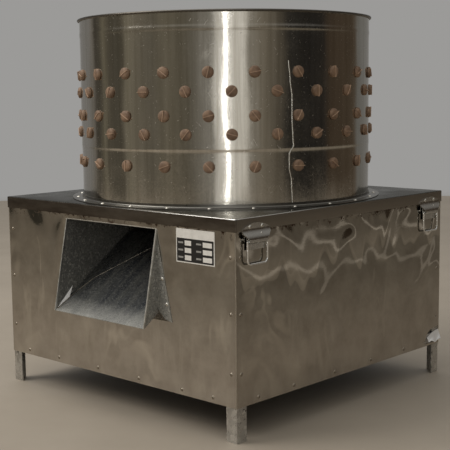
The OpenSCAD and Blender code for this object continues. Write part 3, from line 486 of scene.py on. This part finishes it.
# %% [markdown]
# The drum is the piece that everyone looks at, and it mirrors the room, so flat facets would
# show at once. It is spun from its outline: a wall that swells softly at two swaged beads, with
# close rows of points there and wide ones between, and a thin rolled rim with a darker edge.
# Then the wall is pushed in and out by up to half a millimetre, as rolled sheet is.

# %% Drum
DRUM_R, DRUM_WALL, DRUM_FOOT, DRUM_TOP = 0.300, 0.0015, 0.3953, 0.760
RIM_R, RIM_TUCK, RIM_GAP = 0.0024, 0.0005, 0.003
BEADS, BEAD_SPREAD = ((0.507, 0.0005), (0.728, 0.0008)), 0.0036
WALL_STEP, BEAD_STEP, BEAD_REACH = 0.012, 0.001, 0.010
ROUND_STEPS = 192
RIM_Z = DRUM_TOP - RIM_R


def swell(z):
    """How far the beads push the wall out at a height."""
    return sum(out * math.exp(-0.5 * ((z - bead) / BEAD_SPREAD) ** 2) for bead, out in BEADS)


def waviness(turn, z):
    """How far the rolls left the wall out of round."""
    return (0.00022 * math.sin(5 * turn + 9 * z) * math.sin(14 * z + 1)
            + 0.00016 * math.sin(11 * turn - 21 * z) + 0.0001 * math.sin(19 * turn + 33 * z))


rows = [DRUM_FOOT]
while rows[-1] < RIM_Z - RIM_GAP - WALL_STEP:
    close = any(abs(rows[-1] - bead) < BEAD_REACH + WALL_STEP for bead, _ in BEADS)
    rows.append(rows[-1] + (BEAD_STEP if close else WALL_STEP))
outside = [(DRUM_R + swell(z), z) for z in rows]
inside = [(DRUM_R - DRUM_WALL + swell(z), z) for z in rows + [RIM_Z]]
rim = arc((DRUM_R + RIM_R - RIM_TUCK, RIM_Z), RIM_R, 215, 495, 16)
drum = spin(outside + rim + inside[::-1], ROUND_STEPS, closed=True)
for face in drum.faces:
    face.material_index = 1 if face.calc_center_median().z > RIM_Z - RIM_R else 0
for v in drum.verts:
    push = waviness(math.atan2(v.co.y, v.co.x), v.co.z) / math.hypot(v.co.x, v.co.y)
    v.co.x *= 1 + push
    v.co.y *= 1 + push
make_piece(drum, "drum", "top", [drum_steel, rim_steel], ["drum_shell"])

# %% [markdown]
# Round the drum's foot lies a folded ring, riveted to the cover. Its fold is rounded, so it
# carries the bright line that sets the drum off from the cover.

# %% Foot ring
COVER_Z = 0.3965
RING_IN, RING_OUT, RING_T, RING_UP, RING_FOLD = 0.3003, 0.322, 0.0015, 0.008, 0.003
ring_outline = [(RING_IN, COVER_Z), (RING_OUT, COVER_Z), (RING_OUT, COVER_Z + RING_T)]
fold_centre = (RING_IN + RING_T + RING_FOLD, COVER_Z + RING_T + RING_FOLD)
ring_outline += arc(fold_centre, RING_FOLD, 270, 180, 6)
ring_outline += [(RING_IN + RING_T, COVER_Z + RING_UP), (RING_IN, COVER_Z + RING_UP)]
make_piece(spin(ring_outline, ROUND_STEPS, closed=True), "foot_ring", "top",
           [flange_steel], ["drum_foot_ring"])

# %% [markdown]
# The cover is one sheet: a square with a round hole, bent down at its edges. The square and
# the hole are two loops with the same number of points, bridged; the skirt is extruded from
# the square's edge, and the bend gets a real radius with a bevel.

# %% Cover
COVER_W, SKIRT, SHEET, BEND_R = 0.655, 0.023, 0.0012, 0.002
LOOP_POINTS, QUARTER = 96, math.pi / 2
BEND_ANGLE, SKIRT_TILT = 1.0, 0.35
half = COVER_W / 2
cover = bmesh.new()
bmesh.ops.create_circle(cover, segments=LOOP_POINTS, radius=RING_IN)
square = bmesh.ops.create_circle(cover, segments=LOOP_POINTS, radius=half)["verts"]
for v in square:
    turn = math.atan2(v.co.y, v.co.x) + QUARTER / 2
    side = Matrix.Rotation(math.floor(turn / QUARTER) * QUARTER, 3, "Z")
    start, end = side @ Vector((half, -half, 0)), side @ Vector((half, half, 0))
    v.co = start.lerp(end, (turn % QUARTER) / QUARTER)
bmesh.ops.bridge_loops(cover, edges=list(cover.edges))
outer = [e for e in cover.edges
         if e.is_boundary and max(abs(e.verts[0].co.x), abs(e.verts[0].co.y)) > (RING_IN + half) / 2]
skirt = bmesh.ops.extrude_edge_only(cover, edges=outer)["geom"]
skirt_foot = [g for g in skirt if isinstance(g, bmesh.types.BMVert)]
bmesh.ops.translate(cover, verts=skirt_foot, vec=(0, 0, -SKIRT))
bmesh.ops.translate(cover, verts=cover.verts, vec=(0, 0, COVER_Z))
bmesh.ops.recalc_face_normals(cover, faces=cover.faces)
bends = [e for e in cover.edges if len(e.link_faces) == 2 and e.calc_face_angle(0) > BEND_ANGLE]
bmesh.ops.bevel(cover, geom=bends, offset=BEND_R, offset_type="OFFSET", affect="EDGES", segments=4,
                profile=0.5, material=-1)
if sum(face.normal.z * face.calc_area() for face in cover.faces) < 0:
    bmesh.ops.reverse_faces(cover, faces=cover.faces)
for face in cover.faces:
    face.material_index = 1 if face.normal.z < SKIRT_TILT else 0
bmesh.ops.solidify(cover, geom=cover.faces, thickness=SHEET)
make_piece(cover, "cover", "top", [cover_steel, skirt_steel], ["cover_plate"],
           sharp_deg=40)

# %% [markdown]
# A plucking finger is a turned shape: a domed head that stops it outside the wall, a neck in
# the wall's hole and a tapered body with ribs. The head carries a mould line across it: a low
# ridge from rim to rim over the dome. One finger is spun and kept as a pattern.

# %% One finger
FINGER_LEN, FINGER_STEPS = 0.085, 16
HEAD = ((0.0, -0.0062), (0.0055, -0.0060), (0.0090, -0.0052), (0.0106, -0.0038), (0.0112, -0.0022),
        (0.0110, -0.0002))
NECK_R, SHOULDER_R, SHOULDER_LEN = 0.0080, 0.0095, 0.009
RIBS, RIB_STEP, RIB_FROM, RIB_WIDE, RIB_TAPER = 9, 0.0068, 0.013, 0.0090, 0.0028
RIB_DEPTH, RIB_RISE, RIB_FLAT = 0.0011, 0.0015, 0.0022
TIP = ((0.0055, 0.004), (0.0035, 0.0005), (0.0, 0.0))
WALL_NECK = 0.0020
RIDGE_SIZE, RIDGE_AT = (0.0212, 0.0012, 0.0030), (0.0005, 0, -0.0056)


def paint(verts, material_index):
    """Gives the faces at these corners a material of their piece."""
    for face in {face for v in verts for face in v.link_faces}:
        face.material_index = material_index


def finger_pattern(groove):
    """One finger along +Z, its head below zero and its neck as long as the groove."""
    outline = list(HEAD) + [(NECK_R, HEAD[-1][1]), (NECK_R, groove), (SHOULDER_R, groove),
                            (SHOULDER_R, groove + SHOULDER_LEN)]
    for i in range(RIBS):
        along = groove + RIB_FROM + i * RIB_STEP
        radius = RIB_WIDE - RIB_TAPER * i / (RIBS - 1)
        outline += [(radius - RIB_DEPTH, along - RIB_RISE), (radius, along), (radius, along + RIB_FLAT)]
    outline += [(radius, FINGER_LEN - back) for radius, back in TIP]
    mesh = spin(outline, FINGER_STEPS, closed=False)
    ridge = bmesh.ops.create_cube(mesh, size=1.0, matrix=Matrix.Diagonal((*RIDGE_SIZE, 1)))["verts"]
    bmesh.ops.translate(mesh, verts=ridge, vec=RIDGE_AT)
    paint(ridge, 1)
    bmesh.ops.recalc_face_normals(mesh, faces=mesh.faces)
    data = bpy.data.meshes.new("finger_pattern")
    mesh.to_mesh(data)
    mesh.free()
    return data


def place_fingers(pattern, places):
    """Copies the pattern to each place, in one bmesh."""
    mesh = bmesh.new()
    for place in places:
        known = len(mesh.verts)
        mesh.from_mesh(pattern)
        mesh.verts.ensure_lookup_table()
        bmesh.ops.transform(mesh, matrix=place, verts=mesh.verts[known:])
    return mesh


wall_finger = finger_pattern(WALL_NECK)
print("a wall finger has", len(wall_finger.polygons), "faces")

# %% [markdown]
# The drum's wall has five staggered rows of holes. The pattern is copied to every hole, points
# inwards, and is turned a different way in each, as fingers pulled in by hand are.

# %% Fingers in the wall
ROWS = (0.647, 0.612, 0.567, 0.533, 0.4735)
PER_ROW, PHASE = 22, -3.6
HOLE_TURN, ROW_TURN, HALF_TURN = 67, 31, 180
inwards = Matrix.Translation((DRUM_R, 0, 0)) @ Matrix.Rotation(-math.pi / 2, 4, "Y")
for row, height in enumerate(ROWS):
    places = []
    for i in range(PER_ROW):
        turn = math.radians(PHASE + (i + (row % 2) / 2) * 360 / PER_ROW)
        own_turn = math.radians((i * HOLE_TURN + row * ROW_TURN) % HALF_TURN)
        places.append(Matrix.Translation((0, 0, height)) @ Matrix.Rotation(turn, 4, "Z") @ inwards
                      @ Matrix.Rotation(own_turn, 4, "Z"))
    make_piece(place_fingers(wall_finger, places), "wall_fingers_row_%d" % (row + 1), "top",
               [finger_rubber, flash_rubber],
               ["drum_fingers_row_%d" % (row + 1)], sharp_deg=60)

# %% [markdown]
# The spinning plate carries the same fingers in three rings, with their heads under it. It is
# thicker than the wall, so their necks are longer.

# %% Fingers on the plate
PLATE_Z, PLATE_T, NECK_PLAY, PLATE_TURN = 0.402, 0.004, 0.0003, 71
PLATE_RINGS = ((0.090, 6), (0.140, 10), (0.190, 14))
plate_finger = finger_pattern(PLATE_T + NECK_PLAY)
places = []
for ring, (radius, count) in enumerate(PLATE_RINGS):
    for i in range(count):
        places.append(Matrix.Rotation(math.radians((i + ring / 2) * 360 / count), 4, "Z")
                      @ Matrix.Translation((radius, 0, PLATE_Z))
                      @ Matrix.Rotation(math.radians(i * PLATE_TURN), 4, "Z"))
make_piece(place_fingers(plate_finger, places), "plate_fingers_turned", "rotor",
           [finger_rubber, flash_rubber], ["plate_fingers"], sharp_deg=60)

# %% [markdown]
# The rating plate is a thin printed plate. Its wording is left off: a white head strip, a black
# field, white boxes and grey bars beside them stay. Each printed area is its own thin raised
# block, as screen-printed ink is, only thicker so that it shows.

# %% Rating plate
MARGIN, HEAD_STRIP, INK = 0.002, 0.017, 0.0002
BOX_COLUMNS, BOX_LINES = ((0.022, 0.016), (0.067, 0.022)), 3
BOX_LOW, BOX_STEP, BOX_H = 0.005, 0.0132, 0.0088
BAR_BACK, BAR_LOW, BAR_OUT = (0.0165, 0.004), (0.003, 0.0062), 0.00035
white_ink = mottled("screen_print_white", "#dcdad4", "#ebe9e4", 12, 0.5, 1.0, 0.02)
black_ink = mottled("screen_print_black", "#121213", "#1c1c1d", 12, 0.4, 1.0, 0.02)
grey_ink = mottled("screen_print_grey", "#8b8a87", "#a09f9b", 6, 0.5, 1.0, 0.02)


def block(mesh, low, high, material_index):
    """A block between two corners."""
    size = [h - l for l, h in zip(low, high)]
    middle = [(l + h) / 2 for l, h in zip(low, high)]
    place = Matrix.Translation(middle) @ Matrix.Diagonal((*size, 1))
    paint(bmesh.ops.create_cube(mesh, size=1.0, matrix=place)["verts"], material_index)


plate_low, plate_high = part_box("data_plate")
front = plate_low.y
left, right, low, top = plate_low.x, plate_high.x, plate_low.z, plate_high.z
label = bmesh.new()
block(label, plate_low, plate_high, 0)
block(label, (left + MARGIN, front - INK, low + MARGIN),
      (right - MARGIN, front + INK, top - HEAD_STRIP), 1)
for start, width in BOX_COLUMNS:
    for line in range(BOX_LINES):
        foot = low + BOX_LOW + line * BOX_STEP
        block(label, (left + start, front - 2 * INK, foot),
              (left + start + width, front, foot + BOX_H), 0)
        block(label, (left + start - BAR_BACK[0], front - BAR_OUT, foot + BAR_LOW[0]),
              (left + start - BAR_BACK[1], front, foot + BAR_LOW[1]), 2)
make_piece(label, "rating_plate", "base", [white_ink, black_ink, grey_ink],
           ["data_plate"])

# %% [markdown]
# The drum's sheet was closed by an upright weld. It stands a little proud and wavers, so it
# catches the light as a thin bright line. It is a grid that is wrapped on the wall: its middle
# strays from upright by eased steps between a few heights, and it is crowned across.

# %% Weld seam
SEAM_TURN, SEAM_W, SEAM_SHIFT = math.radians(-23), 0.0032, 0.004
SEAM_FOOT, SEAM_CROWN = 0.0004, 0.0009
DRIFT = ((0.405, 0.007), (0.445, 0.0055), (0.470, 0.001), (0.495, 0.001), (0.512, 0.0100),
         (0.528, 0.0085), (0.560, 0.0070), (0.600, 0.0070), (0.632, 0.0033), (0.667, 0.0))
SEAM_LOW, SEAM_HIGH = DRIFT[0][0], DRIFT[-1][0]


def smooth(share):
    """Eases a share between 0 and 1 at both ends."""
    share = min(max(share, 0), 1)
    return share * share * (3 - 2 * share)


def drift(z):
    """How far the seam strays from upright at a height."""
    for (z0, d0), (z1, d1) in zip(DRIFT, DRIFT[1:]):
        if z <= z1:
            return d0 + (d1 - d0) * smooth((z - z0) / (z1 - z0))
    return DRIFT[-1][1]


seam = bmesh.new()
bmesh.ops.create_grid(seam, x_segments=4, y_segments=110, size=0.5)
for v in seam.verts:
    z = SEAM_LOW + (v.co.y + 0.5) * (SEAM_HIGH - SEAM_LOW)
    turn = SEAM_TURN + (v.co.x * SEAM_W + drift(z) - SEAM_SHIFT) / DRUM_R
    out = DRUM_R + SEAM_FOOT + SEAM_CROWN * math.cos(math.pi * v.co.x)
    v.co = Vector((out * math.cos(turn), out * math.sin(turn), z))
bmesh.ops.recalc_face_normals(seam, faces=seam.faces)
make_piece(seam, "weld_seam", "top", [rivet_plating], sharp_deg=80)

# %% [markdown]
# Each drop handle hangs from a hood: a plate with an arched top, riveted to the skirt, that
# swells outwards over the ring's pivot and is rolled round it. It is one smooth sheet, so a
# grid is drawn over that shape and given its thickness. The roll, the tongue behind the ring
# and a pressed dimple are added, and the shape is turned round for the left side.

# %% Handle hoods
PIVOT_OUT, PIVOT_Z, HOOD_TOP, HOOD_T, HOOD_GAP = 0.0045, 0.355, 0.387, 0.0019, 0.0001
HOOD_HALF, LIP_HALF, ARCH_R, ROLL_R = 0.036, 0.0234, 0.066, 0.0042
WAIST_IN, WAIST_Z, NOTCH_Z, SWELL_Z = 0.008, (0.371, 0.3615), (0.3612, 0.3598), (0.377, 0.358)
TONGUE_UP, TONGUE_OUT = 0.015, 0.0015
DIMPLE_R, DIMPLE_AT = 0.0026, (0.0036, 0.011, 0.3675)
HANDLE_Y = 0.276


def eased(z, start, end):
    """Goes smoothly from 0 at one height to 1 at another."""
    return smooth((z - start) / (end - start))


def thicken(mesh, axis, thickness):
    """Turns an open sheet so that it faces along an axis, and gives it a thickness."""
    if sum(face.normal[axis] for face in mesh.faces) < 0:
        bmesh.ops.reverse_faces(mesh, faces=mesh.faces)
    bmesh.ops.solidify(mesh, geom=mesh.faces, thickness=thickness)


def hood_mesh():
    """One hood on a skirt at X = 0, with +X outwards."""
    mesh = bmesh.new()
    bmesh.ops.create_grid(mesh, x_segments=28, y_segments=26, size=0.5)
    for v in mesh.verts:
        across, up = 2 * v.co.x, v.co.y + 0.5
        crown = HOOD_TOP - ARCH_R + math.sqrt(ARCH_R ** 2 - (HOOD_HALF * across) ** 2)
        z = PIVOT_Z + up * (crown - PIVOT_Z)
        waist = (WAIST_IN * eased(z, *WAIST_Z)
                 + (HOOD_HALF - WAIST_IN - LIP_HALF) * eased(z, *NOTCH_Z))
        out = HOOD_T + HOOD_GAP + (PIVOT_OUT + ROLL_R - HOOD_T) * eased(z, *SWELL_Z)
        v.co = Vector((out, (HOOD_HALF - waist) * across, z))
    bmesh.ops.recalc_face_normals(mesh, faces=mesh.faces)
    thicken(mesh, 0, HOOD_T)
    along = Matrix.Translation((PIVOT_OUT, 0, PIVOT_Z)) @ Matrix.Rotation(math.pi / 2, 4, "X")
    bmesh.ops.create_cone(mesh, cap_ends=True, segments=32, radius1=ROLL_R, radius2=ROLL_R,
                          depth=2 * LIP_HALF, matrix=along)
    block(mesh, (HOOD_GAP, -LIP_HALF, PIVOT_Z - TONGUE_UP),
          (TONGUE_OUT, LIP_HALF, PIVOT_Z + TONGUE_UP), 0)
    paint(bmesh.ops.create_uvsphere(mesh, u_segments=16, v_segments=10, radius=DIMPLE_R,
                                    matrix=Matrix.Translation(DIMPLE_AT))["verts"], 1)
    return mesh


for end, side_y in (("front", -1), ("rear", 1)):
    for side, turn in (("right", 0), ("left", math.pi)):
        hood = hood_mesh()
        on_skirt = Matrix.Translation((COVER_W / 2, math.cos(turn) * side_y * HANDLE_Y, 0))
        bmesh.ops.transform(hood, matrix=Matrix.Rotation(turn, 4, "Z") @ on_skirt, verts=hood.verts)
        make_piece(hood, "handle_hood_%s_%s" % (end, side), "top",
                   [hood_plating, rivet_plating], ["handle_plate_%s_%s" % (end, side)], sharp_deg=50)

# %% [markdown]
# The chute was cut and bent by hand from galvanised sheet. Shearing leaves bare bright edges,
# and standing on the sheet left one crease across its floor, which fades out inwards. Both are
# thin bars that lie on the solid: a bar is a cube that is stretched from one end point to the
# other. A ray that is cast down on the solid finds the floor's height for the crease.

# %% Cut edges and crease of the chute
CHEEK_X, MOUTH_Y, MOUTH_TOP = 0.1298, -0.3256, 0.3637
LIP_Y, LIP_Z, RAY_START = -0.3615, 0.184, MOUTH_TOP - 0.01
EDGE_W, TOP_EDGE_W, TOP_EDGE_UP = 0.0024, 0.0014, 0.0008
CREASE = ((-0.127, -0.358), (-0.118, -0.312), (-0.103, -0.278), (-0.080, -0.253), (-0.025, -0.196))
CREASE_W, CREASE_T = (0.0030, 0.0018, 0.0008, 0.0004), 0.0007


def bar(mesh, start, end, width, depth):
    """A square bar from start to end, in metres."""
    start, end = Vector(start), Vector(end)
    aim = (end - start).to_track_quat("Z", "X").to_matrix().to_4x4()
    size = Matrix.Diagonal((width, depth, (end - start).length, 1))
    bmesh.ops.create_cube(mesh, size=1.0, matrix=Matrix.Translation((start + end) / 2) @ aim @ size)


edges = bmesh.new()
for side in (-1, 1):
    bar(edges, (side * CHEEK_X, MOUTH_Y, MOUTH_TOP), (side * CHEEK_X, LIP_Y, LIP_Z), EDGE_W, EDGE_W)
top_edge = MOUTH_TOP + TOP_EDGE_UP
bar(edges, (-CHEEK_X, MOUTH_Y, top_edge), (CHEEK_X, MOUTH_Y, top_edge), TOP_EDGE_W, TOP_EDGE_W)
make_piece(edges, "chute_cut_edges", "base", [cut_zinc])

chute_solid = frame["nodes"]["chute_hood"]
depsgraph = bpy.context.evaluated_depsgraph_get()


def on_chute_floor(x, y):
    """The point of the chute's floor below a place in its mouth."""
    above = Vector((x, y, RAY_START))
    hit, point, _, _ = chute_solid.ray_cast(above, Vector((0, 0, -1)), depsgraph=depsgraph)
    assert hit, (x, y)
    return point


crease = bmesh.new()
for begin, end, width in zip(CREASE, CREASE[1:], CREASE_W):
    bar(crease, on_chute_floor(*begin), on_chute_floor(*end), width, CREASE_T)
make_piece(crease, "chute_crease", "base", [fold_steel])

# %% [markdown]
# At the chute's lower left the lip was bent up. Its shine is a painted highlight: the bend takes
# the near-white finish of torn steel, so that it shows as a bright glint. The bend is one small
# triangle of sheet between the lip's tip and two points further in, one of them raised.

# %% Bent lip corner
BEND_TIP, BEND_HIGH, BEND_LOW = (-0.1285, -0.3605), (-0.1270, -0.3180), (-0.1235, -0.3300)
BEND_UP, BEND_T = 0.014, 0.0006
bend_corners = [on_chute_floor(*BEND_TIP), on_chute_floor(*BEND_HIGH) + Vector((0, 0, BEND_UP)),
                on_chute_floor(*BEND_LOW)]
lip_bend = bmesh.new()
lip_bend.faces.new([lip_bend.verts.new(corner) for corner in bend_corners])
bmesh.ops.subdivide_edges(lip_bend, edges=lip_bend.edges, cuts=6, use_grid_fill=True)
lip_bend.normal_update()
thicken(lip_bend, 2, BEND_T)
# The bend's brightness is a painted highlight in its finish.
make_piece(lip_bend, "chute_lip_bend", "base", [bare_steel_and_glint], sharp_deg=60)

# %% [markdown]
# The panels meet in a folded corner. A fold in thin sheet is round, not sharp, so it shows as a
# thin bright line from the skirt down to the legs. Here it is a slim rod in each corner.

# %% Corner folds
PANEL_OUT, FOLD_R, FOLD_PROUD = 0.3255, 0.0014, 0.0004
FOLD_LOW, FOLD_HIGH = 0.064, 0.3725
fold_at = PANEL_OUT - FOLD_R + FOLD_PROUD
folds = bmesh.new()
for side_x in (-1, 1):
    for side_y in (-1, 1):
        at = Matrix.Translation((side_x * fold_at, side_y * fold_at, (FOLD_LOW + FOLD_HIGH) / 2))
        bmesh.ops.create_cone(folds, cap_ends=True, segments=24, radius1=FOLD_R, radius2=FOLD_R,
                              depth=FOLD_HIGH - FOLD_LOW, matrix=at)
make_piece(folds, "corner_folds", "base", [fold_steel], sharp_deg=60)

# %% [markdown]
# The right panel's rear lower corner is torn. The strip that came loose is bent outwards and
# crumpled, so it shows bare bright metal. It is a small grid, pulled out towards its lower edge
# and folded by two sine waves.

# %% Torn corner
TEAR_Y, TEAR_END, TEAR_TOP, TEAR_LOW, TEAR_T = 0.280, 0.3248, 0.0940, 0.0720, 0.0008
TEAR_DIP, TEAR_WAVE, TEAR_OUT, TEAR_CRUMPLE, TEAR_GAP = 0.012, 0.003, 0.006, 0.0011, 0.0003
flap = bmesh.new()
bmesh.ops.create_grid(flap, x_segments=20, y_segments=10, size=0.5)
for v in flap.verts:
    along, down = v.co.x + 0.5, 0.5 - v.co.y
    y = TEAR_Y + along * (TEAR_END - TEAR_Y)
    top = TEAR_TOP - TEAR_DIP * (1 - along) ** 2
    foot = TEAR_LOW + TEAR_WAVE * math.sin(9 * along)
    curl = TEAR_OUT * down ** 1.6 + TEAR_CRUMPLE * math.sin(11 * along + 4 * down) * down
    v.co = Vector((PANEL_OUT + TEAR_GAP + curl, y, top + (foot - top) * down))
bmesh.ops.recalc_face_normals(flap, faces=flap.faces)
thicken(flap, 0, TEAR_T)
make_piece(flap, "torn_flap", "base", [bare_steel_and_glint], sharp_deg=50)

# %% [markdown]
# The studio is plain: a pale round floor, and a dim room all round. Polished steel shows
# mostly what stands round it, so the room is not one colour. Soft upright bands of pale wall,
# grey and brown, by azimuth in degrees, give the drum its shading. They turn to a pale ceiling
# high up and to a brown skirting below the horizon.

# %% Floor and room
FLOOR_R = 4.0
floor_paint = mottled("pale_floor", "#998f81", "#a3998b", 500, 0.6, 20, 0.02)
ROOM = ((-180, "#7f7d7a"), (-171, "#757069"), (-167, "#46423b"), (-160, "#4d4941"), (-154, "#767061"),
        (-149, "#555046"), (-138, "#524e45"), (-132, "#565147"), (-128, "#827c6e"), (-118, "#716b5f"),
        (-104, "#635e54"), (-92, "#6f695c"), (-76, "#605b50"), (-56, "#8d8a84"), (-34, "#99958d"),
        (-18, "#797266"), (-3, "#544e45"), (2, "#302e2b"), (20, "#262422"), (36, "#2e2b28"),
        (41, "#443a30"), (70, "#4b4136"), (76, "#564c41"), (80, "#6f6e6b"), (112, "#7d7b78"),
        (120, "#9b9a98"), (147, "#9b9a98"), (156, "#7f7d7a"), (180, "#7f7d7a"))
ground = bmesh.new()
bmesh.ops.create_circle(ground, cap_ends=True, segments=128, radius=FLOOR_R)
floor_data = bpy.data.meshes.new("floor")
ground.to_mesh(floor_data)
ground.free()
floor_data.materials.append(floor_paint)
floor = bpy.data.objects.new("floor", floor_data)
bpy.context.scene.collection.objects.link(floor)

world = bpy.data.worlds.new("studio_room")
world.use_nodes = True
way = add(world, "ShaderNodeTexCoord", {}, "Generated")
east, north, up = add(world, "ShaderNodeSeparateXYZ", {0: way}).node.outputs
heading = add(world, "ShaderNodeMath", {0: north, 1: east}, operation="ARCTAN2")
along = add(world, "ShaderNodeMapRange", {"Value": heading, "From Min": -math.pi, "From Max": math.pi})
bands = add(world, "ShaderNodeValToRGB", {0: along})
stops = bands.node.color_ramp.elements
for azimuth, shade in ROOM[1:-1]:
    stops.new((azimuth + 180) / 360).color = linear(shade)
stops[0].color = linear(ROOM[0][1])
stops[len(stops) - 1].color = linear(ROOM[-1][1])
rise = add(world, "ShaderNodeMapRange", {"Value": up, "From Min": 0.2, "From Max": 0.75})
colour = add(world, "ShaderNodeMix", {0: rise, 6: bands, 7: "#c9c7c3"}, 2, data_type="RGBA")
fall = add(world, "ShaderNodeMapRange", {"Value": up, "From Min": -0.095, "From Max": -0.125})
colour = add(world, "ShaderNodeMix", {0: fall, 6: colour, 7: "#6a6357"}, 2, data_type="RGBA")
fill(world, world.node_tree.nodes["Background"], {"Color": colour, "Strength": 1.0})
bpy.context.scene.world = world
print("room of", len(stops), "bands")

# %% [markdown]
# Six soft lamps light it. A large key stands at the left front and a second hangs overhead.
# A narrow strip beside the camera draws the bright line on the drum, and a wide, dim panel
# behind it gives the line its soft flanks. Two thin strips lie low on the machine's right,
# and the right panel mirrors them: its bulges bend them to wavy lines.

# %% Lights
LAMPS = (
    ("key", (-1.6, -2.4, 2.6), (0, 0, 0.4), 1.8, 1.8, 50, "#fffaf4"),
    ("strip", (2.3, -2.4, 0.9), (0, 0, 0.9), 0.05, 2.2, 4.5, "#ffffff"),
    ("strip_glow", (2.54, -2.34, 0.9), (0, 0, 0.9), 1.5, 2.2, 4.6, "#fbfaf6"),
    ("far_low_strip", (1.65, 1.75, 0.055), (-0.23, 1.07, 0.055), 2.4, 0.022, 0.052, "#fff6ea"),
    ("near_low_strip", (1.1, 1.05, 0.07), (-0.78, 0.37, 0.07), 1.5, 0.016, 0.014, "#fff6ea"),
    ("top", (-0.6, -0.6, 3.2), (-0.3, -0.3, 0.4), 2.4, 2.4, 36, "#f8f7f5"),
)
for name, place, target, width, height, power, colour in LAMPS:
    lamp = bpy.data.lights.new(name, "AREA")
    lamp.shape, lamp.size, lamp.size_y, lamp.energy = "RECTANGLE", width, height, power
    lamp.color = linear(colour)[:3]
    made = bpy.data.objects.new(name, lamp)
    made.location = place
    made.rotation_euler = (Vector(target) - Vector(place)).to_track_quat("-Z", "Y").to_euler()
    bpy.context.scene.collection.objects.link(made)
print("lit by", len(LAMPS), "lamps")

# %% [markdown]
# The camera stands where the photograph was taken from: right front, a little above the
# cabinet. Its place and lens were fitted to edges of the machine.

# %% Camera
CAMERA_AT, LENS_MM, SENSOR_MM = (1.5309, -1.6357, 0.6134), 84.554, 36
YAW, PITCH, ROLL = (math.radians(a) for a in (-43.17, -7.25, -0.62))
ahead = Vector((math.sin(YAW) * math.cos(PITCH), math.cos(YAW) * math.cos(PITCH), math.sin(PITCH)))
level = Vector((math.cos(YAW), -math.sin(YAW), 0))
above = level.cross(ahead)
right_way = math.cos(ROLL) * level + math.sin(ROLL) * above
up_way = -math.sin(ROLL) * level + math.cos(ROLL) * above
lens = bpy.data.cameras.new("camera")
lens.sensor_width, lens.lens = SENSOR_MM, LENS_MM
camera = bpy.data.objects.new("camera", lens)
turn = Matrix((right_way, up_way, -ahead)).transposed().to_4x4()
camera.matrix_world = Matrix.Translation(CAMERA_AT) @ turn
bpy.context.scene.collection.objects.link(camera)
bpy.context.scene.camera = camera
bpy.context.scene.view_settings.view_transform = "Standard"
print("camera at", [round(v, 3) for v in camera.location])
